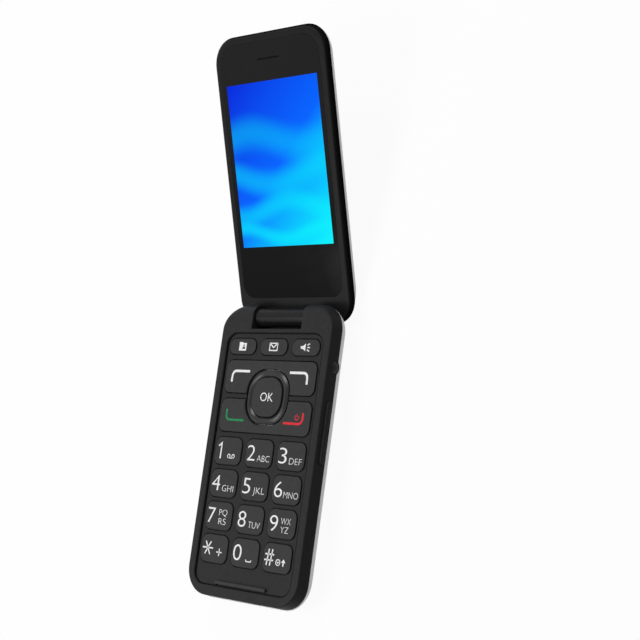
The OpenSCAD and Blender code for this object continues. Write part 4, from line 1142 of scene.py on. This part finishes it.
ONE = Mark(-3.6, 0.0, strokes=((((-1.15, 1.45), (0.2, 2.62), (0.2, -2.85)), False),), line=0.62)
VOICEMAIL = Mark(1.77, -1.75, strokes=((circle((-1.05, 0), 0.62), True), (circle((1.05, 0), 0.62), True),
                                       (((-1.05, -0.66), (1.05, -0.66)), False)), line=0.32)
SPACE = Mark(2.05, -2.4, strokes=((((-1.2, 0.42), (-1.2, 0.0), (-0.9, -0.22), (0.9, -0.22), (1.2, 0.0),
                                    (1.2, 0.42)), False),), line=0.34)
PLUS = Mark(2.6, -1.0, strokes=((((-1.3, 0), (1.3, 0)), False), (((0, -1.3), (0, 1.3)), False)), line=0.4)
STAR = Mark(-3.05, 0.1, strokes=tuple((((-2.5 * math.cos(a), -2.5 * math.sin(a)),
                                         (2.5 * math.cos(a), 2.5 * math.sin(a))), False)
                                        for a in (math.radians(d) for d in (0, 60, 120))), line=0.5)
HASH = Mark(-3.4, 0.0, strokes=((((-2.0, 1.0), (2.0, 1.0)), False), (((-2.15, -0.9), (1.85, -0.9)), False),
                               (((-0.45, 2.7), (-1.1, -2.7)), False), (((1.1, 2.7), (0.45, -2.7)), False)),
            line=0.52)
QUIET = Mark(0.67, -1.3, strokes=((circle((0, 0), 0.95), True), (((-0.5, 0.25), (0, -0.25), (0.5, 0.25)),
                                                                False)), line=0.3)
SHIFT = Mark(3.1, -1.2, strokes=((((0, -1.15), (0, 0.1)), False),), line=0.5,
             fills=(((-0.95, 0.0), (0.95, 0.0), (0, 1.2)),))
CONTACTS = Mark(0, 0, fills=(((-1.75, -1.5), (1.75, -1.5), (1.75, 1.2), (0.1, 1.2), (-0.2, 1.55),
                              (-1.75, 1.55)),),
                gaps=(circle((0.5, 0.36), 0.36, 12),
                      (*arc((0.5, -0.85), 0.78, 0, 180, 8), (-0.28, -0.85))))
ENVELOPE = Mark(0, 0, strokes=((((-1.8, -1.25), (-1.8, 1.25), (1.8, 1.25), (1.8, -1.25)), True),
                               (((-1.7, 1.15), (0, -0.2), (1.7, 1.15)), False)), line=0.42)
TORCH = Mark(0, 0, fills=(((-2.2, -0.42), (-1.2, -0.5), (0.0, -1.3), (0.0, 1.3), (-1.2, 0.5), (-2.2, 0.42)),),
             strokes=((((0.75, 0), (1.95, 0)), False), (((0.75, 0.75), (1.8, 1.3)), False),
                      (((0.75, -0.75), (1.8, -1.3)), False)), line=0.42)

NUMBER_MARKS: dict[str, tuple[Mark, ...]] = {
    "key_1": (ONE, VOICEMAIL), "key_2": (number("2"), letters("ABC", 5.8)),
    "key_3": (number("3", 3.6), letters("DEF", 5.6)), "key_4": (number("4", 4.0), letters("GHI", 5.4)),
    "key_5": (number("5", 3.6), letters("JKL", 5.3)), "key_6": (number("6", 3.7), letters("MNO", 6.6)),
    "key_7": (number("7", 3.6), letters("PQ", 3.9, 2.0, 1.05), letters("RS", 3.5, 1.95, -1.8)),
    "key_8": (number("8", 3.7), letters("TUV", 5.5)),
    "key_9": (number("9", 3.7), letters("WX", 4.4, 1.8, 0.95), letters("YZ", 3.6, 1.6, -1.85)),
    "key_star": (STAR, PLUS), "key_0": (number("0", 3.9), SPACE), "key_hash": (HASH, QUIET, SHIFT),
}
SHORTCUT_MARKS: dict[str, tuple[Mark, ...]] = {
    "key_contacts": (CONTACTS,), "key_messages": (ENVELOPE,), "key_torch": (TORCH,),
}


@dataclass
class Keypad:
    """The panel, its keys, the two rocking plates, the ring and the middle key."""

    hinge: HingeFrame
    key: Triple = (12.6, 9.4125, 2.5)
    shortcut: Triple = (12.6, 5.5, 2.5)
    plate: Triple = (42.6, 11.4, 2.5)
    ring: Triple = (19.2, 18.4, 7.5)
    middle_key: Triple = (13.7, 13.5, 5.5)
    panel_size: Triple = (44.6, 86.9, 4.0)
    panel_row: float = 49.9
    bar_notch: Triple = (24.2, 1.0, 93.48)
    first_row: float = 47.756
    pitch: Point = (14.9, 11.2125)
    shortcut_row: float = 11.05
    plate_rows: tuple[float, float] = (21.65, 35.2)
    ring_row: float = 28.425
    gap: float = 0.3
    hole_gap: float = 0.37
    lip: float = 0.65
    top: float = 3.85
    panel_top: float = 3.5
    middle_top: float = 3.95
    print_rise: float = 0.014
    edge: float = 0.16

    def places(self) -> dict[str, tuple[Point, Triple]]:
        """Gives the middle and the size of every single key."""
        found: dict[str, tuple[Point, Triple]] = {}
        for i, name in enumerate(NUMBER_MARKS):
            found[name] = (((i % 3 - 1) * self.pitch[0], -self.first_row - i // 3 * self.pitch[1]), self.key)
        for i, name in enumerate(SHORTCUT_MARKS):
            found[name] = (((i - 1) * self.pitch[0], -self.shortcut_row), self.shortcut)
        return found

    def hole(self, size: Triple, middle: Point, flare: float = 0.04) -> Solid:
        """Gives the cut for one key, a little wider at the panel's face."""
        w, d, r = (size[0] + 2 * self.hole_gap, size[1] + 2 * self.hole_gap, size[2] + self.hole_gap)
        wide = (w + 2 * flare, d + 2 * flare, r + flare)
        return stacked([(w, d, r, 2.0), (w, d, r, self.panel_top - flare), (*wide, self.panel_top + 0.001),
                        (*wide, 5.0)], middle)

    def panel(self) -> Solid:
        """Builds the keypad panel with a hole for every key."""
        plate = stacked([(*self.panel_size, 2.7), (*self.panel_size, self.panel_top - 0.15),
                         *rounded_top(*self.panel_size, self.panel_top, 0.15, 3)], (0.0, -self.panel_row))
        cuts = [self.hole(size, place) for place, size in self.places().values()]
        cuts += [self.hole(self.plate, (0, -row)) for row in self.plate_rows]
        cuts.append(self.hole(self.ring, (0, -self.ring_row)))
        length, width, row = self.bar_notch
        cuts.append(slab(round_rectangle(length, width, 0.1, (0, -row)), 2.0, 5.0))
        return carved(plate, cuts)

    def cap(self, size: Triple, middle: Point) -> Solid:
        """Builds one key: plunger, flange and a cap with rounded edges."""
        flange = (size[0] + 2 * self.lip, size[1] + 2 * self.lip, size[2] + self.lip)
        return stacked([(2.4, 2.4, 1.2, 1.86), (2.4, 2.4, 1.2, 2.15), (*flange, 2.15), (*flange, 2.6),
                        (*size, 2.6), (*size, self.top - self.edge),
                        *rounded_top(*size, self.top, self.edge)], middle, 10)

    def rocking_plate(self, row: float, nub_row: float) -> Solid:
        """Builds one wide plate with its dished cut around the ring.

        Args:
            row: Distance from the hinge axis to its middle.
            nub_row: Distance to the nub that it rocks on.

        Returns:
            The plate.
        """
        w, d, r = self.plate
        plate = stacked([(w + 1, d + 1, r + 0.5, 1.9), (w + 1, d + 1, r + 0.5, 2.25), (w, d, r, 2.25),
                         (w, d, r, self.top - self.edge), *rounded_top(w, d, r, self.top, self.edge)],
                        (0, -row), 10)
        nub = slab(round_rectangle(1.4, 1.8, 0.5, (0, -nub_row)), 1.62, 2.0)
        gr = self.ring[2] + self.gap
        gw, gd = self.ring[0] + 2 * self.gap, self.ring[1] + 2 * self.gap
        grow = ((0.3, 1.0), (0.3, self.top - 0.26), (0.36, self.top - 0.2), (0.55, self.top - 0.13),
                (0.8, self.top - 0.06), (1.05, self.top + 0.01), (1.2, self.top + 1.0))
        dish = stacked([(gw + 2 * g, gd + 2 * g, gr + g, z) for g, z in grow], (0, -self.ring_row), 14)
        room = slab(round_rectangle(16.0, 5.4, 0.4, (19.0, -17.1)), 1.0, 3.02)
        return carved(carved(plate, [nub], Cut.TOGETHER), [dish, room])

    def ring_piece(self) -> Solid:
        """Builds the navigation ring with its rounded, glossy top."""
        inner = (self.middle_key[0] + 2 * self.gap, self.middle_key[1] + 2 * self.gap,
                 self.middle_key[2] + self.gap)
        middle = (0, -self.ring_row)
        out = round_rectangle(*self.ring, middle, 16)
        ins = round_rectangle(*inner, middle, 16)
        profile = ((0, 2.35), (0, 3.34), (0.02, 3.43), (0.07, 3.51), (0.2, 3.68), (0.32, 3.84), (0.42, 3.95),
                   (0.48, 3.995), (0.54, 4.01), (0.6, 3.99), (0.66, 3.94), (0.76, 3.82), (0.87, 3.66),
                   (0.95, 3.54), (0.99, 3.45), (1, 3.36), (1, 2.35))
        rings = [at_height([(a[0] + (b[0] - a[0]) * t, a[1] + (b[1] - a[1]) * t)
                            for a, b in zip(out, ins)], z) for t, z in profile]
        return lofted(rings, closed=True)

    def middle_piece(self) -> Solid:
        """Builds the middle key."""
        return stacked([(*self.middle_key, 1.86), (*self.middle_key, self.middle_top - 0.25),
                        *rounded_top(*self.middle_key, self.middle_top, 0.25)], (0, -self.ring_row), 14)

    def legend(self, marks: Sequence[Mark], middle: Point, top: float) -> Solid:
        """Builds the print of one key.

        Args:
            marks: Its signs.
            middle: Middle of the key.
            top: Height of the key's face.

        Returns:
            The print as thin solid forms.
        """
        bm = bmesh.new()
        low, high = top - 0.04, top + self.print_rise
        for mark in marks:
            spot = (middle[0] + mark.x, middle[1] + mark.y)
            if mark.text:
                join(bm, self.lettering(mark, spot, low, high))
            for line, loop in mark.strokes:
                ribbon(bm, [(spot[0] + x, spot[1] + y) for x, y in line], mark.line, low, high, loop)
            for outline in mark.fills:
                solid = slab([(spot[0] + x, spot[1] + y) for x, y in outline], low, high)
                cuts = [slab([(spot[0] + x, spot[1] + y) for x, y in gap], low - 1, high + 1)
                        for gap in mark.gaps]
                join(bm, carved(solid, cuts) if cuts else solid)
        return bm

    @staticmethod
    def lettering(mark: Mark, spot: Point, low: float, high: float) -> Solid:
        """Turns a text into a thin mesh at its place.

        Args:
            mark: The text and its height.
            spot: Where its middle goes.
            low: Height of its underside.
            high: Height of its top.

        Returns:
            The mesh of the text.
        """
        curve = bpy.data.curves.new("lettering", "FONT")
        curve.body, curve.align_x, curve.align_y = mark.text, "CENTER", "CENTER"
        curve.size, curve.resolution_u = mark.high / 0.73, 6
        curve.offset = -mark.thin * curve.size * 0.1
        obj = bpy.data.objects.new("lettering", curve)
        bpy.context.scene.collection.objects.link(obj)
        bpy.context.view_layer.update()
        mesh = bpy.data.meshes.new_from_object(obj.evaluated_get(bpy.context.evaluated_depsgraph_get()))
        bm = bmesh.new()
        bm.from_mesh(mesh)
        bpy.data.meshes.remove(mesh)
        discard([obj])
        xs, ys = [v.co.x for v in bm.verts], [v.co.y for v in bm.verts]
        shift = Vector((-(min(xs) + max(xs)) / 2, -(min(ys) + max(ys)) / 2, 0))
        bmesh.ops.translate(bm, verts=bm.verts, vec=shift)
        bmesh.ops.remove_doubles(bm, verts=bm.verts, dist=1e-4)
        raised = bmesh.ops.extrude_face_region(bm, geom=list(bm.faces))["geom"]
        bmesh.ops.translate(bm, verts=[g for g in raised if isinstance(g, Vert)],
                            vec=(0, 0, high - low))
        stretch = mark.wide / (max(xs) - min(xs)) if mark.wide else 1.0
        bmesh.ops.transform(bm, verts=bm.verts, matrix=Matrix.Translation((*spot, low))
                            @ Matrix.Diagonal((stretch, 1, 1, 1)))
        bmesh.ops.recalc_face_normals(bm, faces=bm.faces)
        return bm

    def build(self) -> None:
        """Builds and dresses the panel, every key and its print."""
        make = PieceMaker(self.hinge.keypad(), KEYPAD_BODY)
        keys, white = Finishes.keys.material(), Finishes.white_print.material()
        make.add("keypad_panel", self.panel(), Finishes.panel.material(), "black_panel", ["keypad_fascia"])
        for name, (place, size) in self.places().items():
            bm = self.cap(size, place)
            if name == "key_5":
                nib = (3.4, 0.5, 0.25)
                join(bm, stacked([(*nib, self.top - 0.05), (*nib, self.top + 0.05),
                                  *rounded_top(*nib, self.top + 0.13, 0.08, 3)],
                                 (place[0], place[1] - 3.95), 4))
            make.add(f"cap_{name}", bm, keys, "key_black", [name], body=name)
            marks = {**NUMBER_MARKS, **SHORTCUT_MARKS}[name]
            make.add(f"print_{name}", self.legend(marks, place, self.top), white, "key_black", body=name,
                     flat_faces=False)
        upper, lower = self.plate_rows
        nub = self.ring[1] / 2 + self.gap + 1.2
        make.add("softkey_plate", self.rocking_plate(upper, self.ring_row - nub), keys, "key_black",
                 ["softkey_rocker"], body="softkey_rocker")
        make.add("call_plate", self.rocking_plate(lower, self.ring_row + nub), keys, "key_black",
                 ["call_rocker"], body="call_rocker")
        make.add("smoked_ring", self.ring_piece(), Finishes.ring.material(), "ring_gloss", ["nav_ring"],
                 body="nav_ring")
        make.add("cap_middle", self.middle_piece(), keys, "key_black", ["key_ok"], body="key_ok")
        word = Mark(0, 0, "OK", 3.1, 0.03, wide=6.0)
        make.add("print_middle", self.legend([word], (0.1, -self.ring_row), self.middle_top), white,
                 "key_black", body="key_ok", flat_faces=False)
        self.plate_prints(make, white)

    def plate_prints(self, make: PieceMaker, white: bpy.types.Material) -> None:
        """Prints the signs on both plates.

        Args:
            make: The maker of the keypad's pieces.
            white: Material of the white print.
        """
        low, high = self.top - 0.04, self.top + self.print_rise
        left = [(-18.05, -23.6), (-18.0, -21.6), *bend((-16.3, -21.4), 1.65, 180, 90), (-9.7, -19.75)]
        soft = bmesh.new()
        ribbon(soft, left, 0.86, low, high)
        right = [(17.6, -23.6), (17.55, -21.6), *bend((15.85, -21.4), 1.65, 0, 90), (9.3, -19.75)]
        ribbon(soft, right, 0.86, low, high)
        make.add("print_softkeys", soft, white, "key_black", body="softkey_rocker", flat_faces=False)
        green = bmesh.new()
        ribbon(green, [(-18.25, -33.2), (-18.2, -35.2), *bend((-16.55, -35.25), 1.65, 180, 270),
                       (-9.5, -36.9)], 0.72, low, high)
        make.add("print_call", green, Finishes.green_print.material(), "key_black", body="call_rocker",
                 flat_faces=False)
        red = bmesh.new()
        ribbon(red, [(17.9, -33.2), (17.85, -35.2), *bend((16.2, -35.25), 1.65, 0, -90), (9.2, -36.9)],
               0.8, low, high)
        ribbon(red, arc((15.2, -34.75), 0.85, 130, 410, 14), 0.3, low, high)
        ribbon(red, [(15.2, -34.6), (15.2, -33.65)], 0.3, low, high)
        make.add("print_end", red, Finishes.red_print.material(), "key_black", body="call_rocker",
                 flat_faces=False)


# ---------------------------------------------------------------- display half


@dataclass
class DisplayHalf:
    """Inner frame with the hinge barrel, outer shell, window and what shows in them."""

    hinge: HingeFrame
    half: float = 26.4
    reach: float = 97.9
    corner: float = 9.2
    face: float = 4.65
    seam: float = 7.1
    shell_start: float = 6.35
    out: float = 11.25
    heel_end: float = 3.2
    open_reach: float = 7.3
    lean: float = 20.0
    blend: float = 20.0
    round_off: float = 5.5
    wall: float = 0.9
    skirt: float = 0.85
    edge_round: Point = (1.4, 1.75)
    bed: float = 5.55
    opening: Quad = (22.4, -85.35, -23.35, 0.6)
    ear_pocket: Triple = (11.4, 5.4, 0.5)
    screw_holes: tuple[Point, Point] = ((-17, -14.5), (17, -14.5))
    window: Triple = (23.4, -94.9, -6.3)
    window_r: tuple[float, float] = (7.4, 4.8)
    screen: Triple = (42.7, 24.4, 81.3)
    ear: Triple = (88.8, 10.2, 0.56)
    barrel: Triple = (3.3, 2.3, 11.4)
    camera: Triple = (-12.0, 88.2, 2.6)
    torch: Triple = (-4.5, 88.2, 1.3)

    def hinge_end(self, n: float, drawn: float = 0.0) -> float:
        """Finds where the closed half ends towards the hinge, at one height."""
        reach, flat, lean = self.open_reach - drawn, self.out - drawn, math.radians(self.lean)
        if n > flat - self.blend * (1 - math.cos(lean)):
            y = (reach - self.blend - math.cos(lean) * (flat - self.blend)) / math.sin(lean)
            return y + math.sqrt(max(0.0, self.blend ** 2 - (n - flat + self.blend) ** 2))
        return min(self.heel_end - drawn, (reach - math.cos(lean) * n) / math.sin(lean))

    def edge_ring(self, n: float, inset: float) -> Ring:
        """Gives the outline of the frame's edge at one height, set in by a little."""
        corner = self.corner - 0.4 * inset
        return Level(n, self.half - inset, inset - self.reach, self.heel_end - 0.27 * inset, corner,
                     corner).ring()

    def frame_piece(self) -> Solid:
        """Builds the dark inner frame: bevelled sides, the window's bed and an opening for the panel."""
        across, deep = self.edge_round
        outer = [(self.seam - 0.02, 0.1), (self.seam - 0.12, 0.0)]
        for turn in (90, 78, 66, 55, 44, 33, 23, 14, 6, 0):
            a = math.radians(turn)
            outer.append((self.face + deep * (1 - math.cos(a)), across * (1 - math.sin(a))))
        rings = [self.edge_ring(n, d) for n, d in outer]
        half, far, near = self.window
        for n, grow in ((self.face, 0.03), (self.face + 0.03, 0.0), (self.bed, 0.0)):
            rings.append(Level(n, half + grow, far - grow, near + grow, self.window_r[0] + grow,
                               self.window_r[1] + grow).ring())
        for n in (self.bed, self.shell_start):
            rings.append(Level(n, *self.opening, self.opening[3]).ring())
        for n in (self.shell_start, self.seam - 0.02):
            rings.append(Level(n, self.half - self.skirt, self.skirt - self.reach, self.heel_end - self.skirt,
                               self.corner - self.skirt, self.corner - self.skirt).ring())
        pocket = slab(round_rectangle(*self.ear_pocket, (0, -self.ear[0])), 4.7, 8.0)
        screws = [turned([(0, 4.7), (1.25, 4.7), (1.25, 6.05), (0.8, 6.05), (0.8, 8.0), (0, 8.0)],
                         Matrix.Translation((x, y, 0)), 24) for x, y in self.screw_holes]
        return carved(lofted(rings, closed=True), [pocket, *screws])

    def shade_band_piece(self) -> Solid:
        """Builds the band that runs round the frame above the seam: a skin over the rounded edge whose dark
        colour is painted shade.
        """
        across, deep = self.edge_round
        turns = [math.radians(t) for t in (90, 80, 70, 60, 50, 41, 33)]
        proud = 0.015
        skin = [(self.seam - 0.03, 0.08), (self.seam - 0.13, -0.02)]
        skin += [(self.face + deep * (1 - math.cos(a)) - proud, across * (1 - math.sin(a)) - proud)
                 for a in turns]
        skin += [(skin[-1][0] + 0.12, skin[-1][1] + 0.12), (self.seam - 0.03, 0.3)]
        return lofted([self.edge_ring(n, d) for n, d in skin], closed=True)

    def barrel_piece(self) -> Solid:
        """Builds the hinge barrel and the neck that joins it to the frame."""
        radius, bore, half = self.barrel
        tube = turned([(bore, -half), (radius - 0.3, -half), (radius - 0.09, -half + 0.09),
                       (radius, -half + 0.3), (radius, half - 0.3), (radius - 0.09, half - 0.09),
                       (radius - 0.3, half), (bore, half)], QUARTER_Y, 64)
        neck = placed(slab([(-3.0, 0.6), (-3.0, 5.1), (2.55, 5.1), (2.55, 1.2), (1.9, 0.0), (-2.2, 0.0)],
                           -half, half), SIDE_ON)
        hollow = turned([(0, -20), (bore, -20), (bore, 20), (0, 20)], QUARTER_Y)
        return carved(carved(tube, [neck], Cut.TOGETHER), [hollow])

    def shell_piece(self) -> Solid:
        """Builds the silver outer shell with its round edges and sloped heel."""
        rings: list[Ring] = []
        for drawn in (self.wall, 0.0):
            tall = self.out - self.shell_start - drawn
            made = []
            for t in (90, 82, 74, 66, 58, 50, 42, 34, 26, 18, 12.5):
                a = math.radians(t)
                draw = drawn + self.round_off * (1 - math.cos(a))
                n = self.shell_start + tall * math.sin(a)
                near = self.hinge_end(n, drawn)
                ease = max(5.0, self.corner - 0.6 * (self.heel_end - drawn - near)) - drawn
                made.append(Level(n, self.half - draw, draw - self.reach, near, self.corner - drawn,
                                  ease).ring())
            trim = 0.06 if drawn else 0.16
            made.append(Level(self.seam + 0.02, self.half - drawn - trim, drawn + trim - self.reach,
                              self.heel_end - drawn - trim, self.corner - drawn, self.corner - drawn).ring())
            rings += made if drawn else list(reversed(made))
        cuts = []
        for (x, row, r), rim in ((self.camera, 0.0), (self.torch, 0.1)):
            edge = r + rim
            cuts.append(turned([(0, 9.0), (edge, 9.0), (edge, self.out - 0.12),
                                (edge + 0.16, self.out + 0.01), (edge + 0.16, 13.0), (0, 13.0)],
                               Matrix.Translation((x, -row, 0))))
        return carved(lofted(rings), cuts)

    def window_piece(self) -> Solid:
        """Builds the window with a fine rounded edge and the earpiece slot."""
        half, far, near = self.window
        gap = 0.04
        rings = [Level(n, half - gap - d, far + gap + d, near - gap - d, self.window_r[0] - d,
                       self.window_r[1] - d).ring()
                 for n, d in ((self.bed - 0.02, 0.0), (self.face + 0.05, 0.0), (self.face + 0.015, 0.015),
                              (self.face, 0.05))]
        row, length, width = self.ear
        return carved(lofted(rings), [slab(round_rectangle(length, width, width / 2, (0, -row)), 3.0, 6.0)])

    def picture_piece(self) -> Solid:
        """Builds the lit picture area just under the window's face, with its UV map."""
        width, start, stop = self.screen
        bm = slab(round_rectangle(width, stop - start, 0.25, (0, -(start + stop) / 2), 3),
                  self.face - 0.012, self.face + 0.2)
        uv = bm.loops.layers.uv.new("UVMap")
        for face in bm.faces:
            for loop in face.loops:
                loop[uv].uv = (loop.vert.co.x / width + 0.5, (-loop.vert.co.y - start) / (stop - start))
        return bm

    def lens_piece(self) -> Solid:
        """Turns the camera's cover glass with a stepped rim."""
        x, row, r = self.camera
        top = self.out
        return turned([(0, 10.25), (r - 0.1, 10.25), (r - 0.1, top + 0.02), (r - 0.18, top + 0.09),
                       (r - 0.45, top + 0.09), (r - 0.55, top), (1.3, top - 0.04), (1.15, top - 0.3),
                       (0.8, top - 0.2), (0.4, top - 0.12), (0, top - 0.1)],
                      Matrix.Translation((x, -row, 0)), 56)

    def lamp_piece(self) -> Solid:
        """Turns the torch lamp's domed cover."""
        x, row, r = self.torch
        top = self.out
        return turned([(0, 9.3), (r, 9.3), (r, top - 0.06), (r - 0.1, top), (0.8, top + 0.04),
                       (0.4, top + 0.07), (0, top + 0.08)], Matrix.Translation((x, -row, 0)))

    def build(self) -> None:
        """Builds and dresses every visible piece of the half."""
        make = PieceMaker(self.hinge.display(), DISPLAY_BODY)
        black = "black_housing"
        make.add("display_frame", self.frame_piece(), Finishes.bezel.material(), black, ["lid_inner_frame"])
        # Painted shade over the frame's rounded edge.
        make.add("edge_band_painted_shade", self.shade_band_piece(), Finishes.band.material(), black)
        # Its darker finish is partly painted shade.
        make.add("hinge_barrel", self.barrel_piece(), Finishes.barrel.material(), black)
        make.add("display_back", self.shell_piece(), Finishes.silver.material(), "silver_cover",
                 ["lid_outer_shell"])
        make.add("window_glass", self.window_piece(), Finishes.glass.material(), "window",
                 ["display_window"])
        make.add("lit_picture", self.picture_piece(), LitPicture().material(), "screen", flat_faces=False)
        make.add("lens_cover", self.lens_piece(), Finishes.lens.material(), "lens", ["camera_lens"])
        make.add("torch_cover", self.lamp_piece(), Finishes.lamp.material(), "led", ["torch_led"])


# ---------------------------------------------------------------- inner works


@dataclass
class InnerWorks:
    """The CAD nodes that stay, with the finishes of the real parts; the nav platform's is darkened as painted
    shade.
    """

    nodes: dict[str, bpy.types.Object]
    finishes: dict[str, Finish] = field(default_factory=lambda: {
        "base_rear_housing": Finishes.inner, "key_mat": Finishes.silicone, "dome_sheet": Finishes.tin,
        "main_board": Finishes.board, "shield_cans": Finishes.tin, "sim_holder": Finishes.tin,
        "battery": Finishes.wrap, "battery_contacts": Finishes.gold, "loudspeaker": Finishes.inner,
        "usb_port": Finishes.steel, "charge_contacts": Finishes.gold, "microphone": Finishes.brass,
        "vibration_motor": Finishes.steel, "antenna": Finishes.gold, "base_screws": Finishes.steel,
        "hinge_shaft": Finishes.steel, "volume_switches": Finishes.tin, "nav_platform": Finishes.platform,
        "lcd_panel": Finishes.glass_panel, "backlight": Finishes.diffuser, "lid_board": Finishes.board,
        "earpiece": Finishes.inner, "earpiece_mesh": Finishes.mesh, "camera_module": Finishes.inner,
        "lid_magnet": Finishes.magnet, "lid_screws": Finishes.steel, "hinge_bushes": Finishes.brass,
        "hinge_cam": Finishes.steel,
    })

    def dress(self) -> None:
        """Gives every kept node its finish."""
        for name, finish in self.finishes.items():
            obj = self.nodes[name]
            while len(obj.material_slots) < 1:
                obj.data.materials.append(None)
            for slot in obj.material_slots:
                slot.material = finish.material()
            LOG.info("%s: kept, %s", name, finish.name)


# ---------------------------------------------------------------- studio


@dataclass
class Studio:
    """Pale floor, soft lamps and the camera."""

    eye: Vector = field(default_factory=lambda: Vector((0.33791, -0.02414, 0.35539)))
    right: Vector = field(default_factory=lambda: Vector((0.74076, 0.13272, -0.65853)))
    up: Vector = field(default_factory=lambda: Vector((0.00006, 0.98028, 0.19763)))
    back: Vector = field(default_factory=lambda: Vector((0.67177, -0.14643, 0.72614)))
    lens: float = 79.80
    sensor: float = 36.0
    floor_white: float = 0.93
    bounce: float = 0.2
    sky: float = 0.30

    def background_rays(self, sheet: NodeSheet) -> Socket:
        """Tells the rays that look at the background from those that light the phone."""
        path = sheet.node("ShaderNodeLightPath").outputs
        seen = sheet.math("MAXIMUM", path["Is Camera Ray"], path["Is Glossy Ray"])
        return sheet.math("MAXIMUM", seen, path["Is Transmission Ray"])

    def build(self) -> None:
        """Builds floor, world, lamps and camera."""
        scene = bpy.context.scene
        scene.view_settings.view_transform = "Standard"
        self.build_floor()
        self.build_world(scene)
        self.lamp("lamp_key", (-0.26, -0.22, 0.62), 0.36, 2.7)
        self.lamp("lamp_gleam", (-0.06, 0.46, 0.52), 0.23, 1.5)
        data = bpy.data.cameras.new("studio_camera")
        data.lens, data.sensor_width, data.sensor_fit = self.lens, self.sensor, "HORIZONTAL"
        data.dof.use_dof = False
        data.clip_start, data.clip_end = 0.01, 20.0
        camera = bpy.data.objects.new("studio_camera", data)
        turn = Matrix((self.right, self.up, self.back)).transposed().to_4x4()
        camera.matrix_world = Matrix.Translation(self.eye) @ turn
        scene.collection.objects.link(camera)
        scene.camera = camera

    def build_floor(self) -> None:
        """Lays the pale floor, which keeps the phone's shadow."""
        bm = bmesh.new()
        bmesh.ops.create_grid(bm, x_segments=8, y_segments=8, size=2.5)
        bmesh.ops.translate(bm, verts=bm.verts, vec=(0, 0, -0.0002))
        floor = held_object("studio_floor", bm)
        made, sheet, shader = new_material("floor_pale")
        lit = sheet.blend(sheet.node("ShaderNodeLightPath").outputs["Is Diffuse Ray"], (0.86, 0.86, 0.86),
                          (self.bounce,) * 3)
        sheet.fill(shader, Base_Color=lit, Roughness=0.9, Specular_IOR_Level=0.0)
        glow = sheet.node("ShaderNodeEmission", i0=(1, 1, 1, 1), i1=1.0)
        share = sheet.math("MULTIPLY", self.background_rays(sheet), self.floor_white)
        mix = sheet.node("ShaderNodeMixShader", i0=share, i1=shader.outputs[0], i2=glow.outputs[0])
        sheet.fill(made.node_tree.nodes["Material Output"], Surface=mix.outputs[0])
        floor.data.materials.append(made)

    def build_world(self, scene: bpy.types.Scene) -> None:
        """Makes a white surround that lights the phone at a lower level."""
        world = bpy.data.worlds.new("studio_world")
        world.use_nodes = True
        scene.world = world
        sheet = NodeSheet(world.node_tree)
        lit = sheet.node("ShaderNodeMix", data_type="FLOAT", i0=self.background_rays(sheet),
                         i2=self.sky, i3=1.0)
        sheet.fill(world.node_tree.nodes["Background"], Color=(1, 1, 1, 1), Strength=lit.outputs[0])

    @staticmethod
    def lamp(name: str, place: Triple, size: float, power: float) -> None:
        """Hangs one soft lamp that points at the floor under the middle of the keypad half.

        Args:
            name: Its name.
            place: Where it hangs.
            size: Side of its square face.
            power: Its power in watts.
        """
        data = bpy.data.lights.new(name, "AREA")
        data.shape, data.size, data.energy = "SQUARE", size, power
        obj = bpy.data.objects.new(name, data)
        obj.location = place
        obj.rotation_euler = (-Vector(place)).to_track_quat("-Z", "Y").to_euler()
        bpy.context.scene.collection.objects.link(obj)


def main() -> None:
    """Builds the phone and its studio in order."""
    logging.basicConfig(level=logging.INFO, format="%(name)s %(message)s")
    hinge = HingeFrame.from_joint(frame["joints"], "lid_hinge")
    Studio().build()
    KeypadHalf(hinge).build()
    Keypad(hinge).build()
    DisplayHalf(hinge).build()
    InnerWorks(frame["nodes"]).dress()


if __name__ == "__main__":
    main()
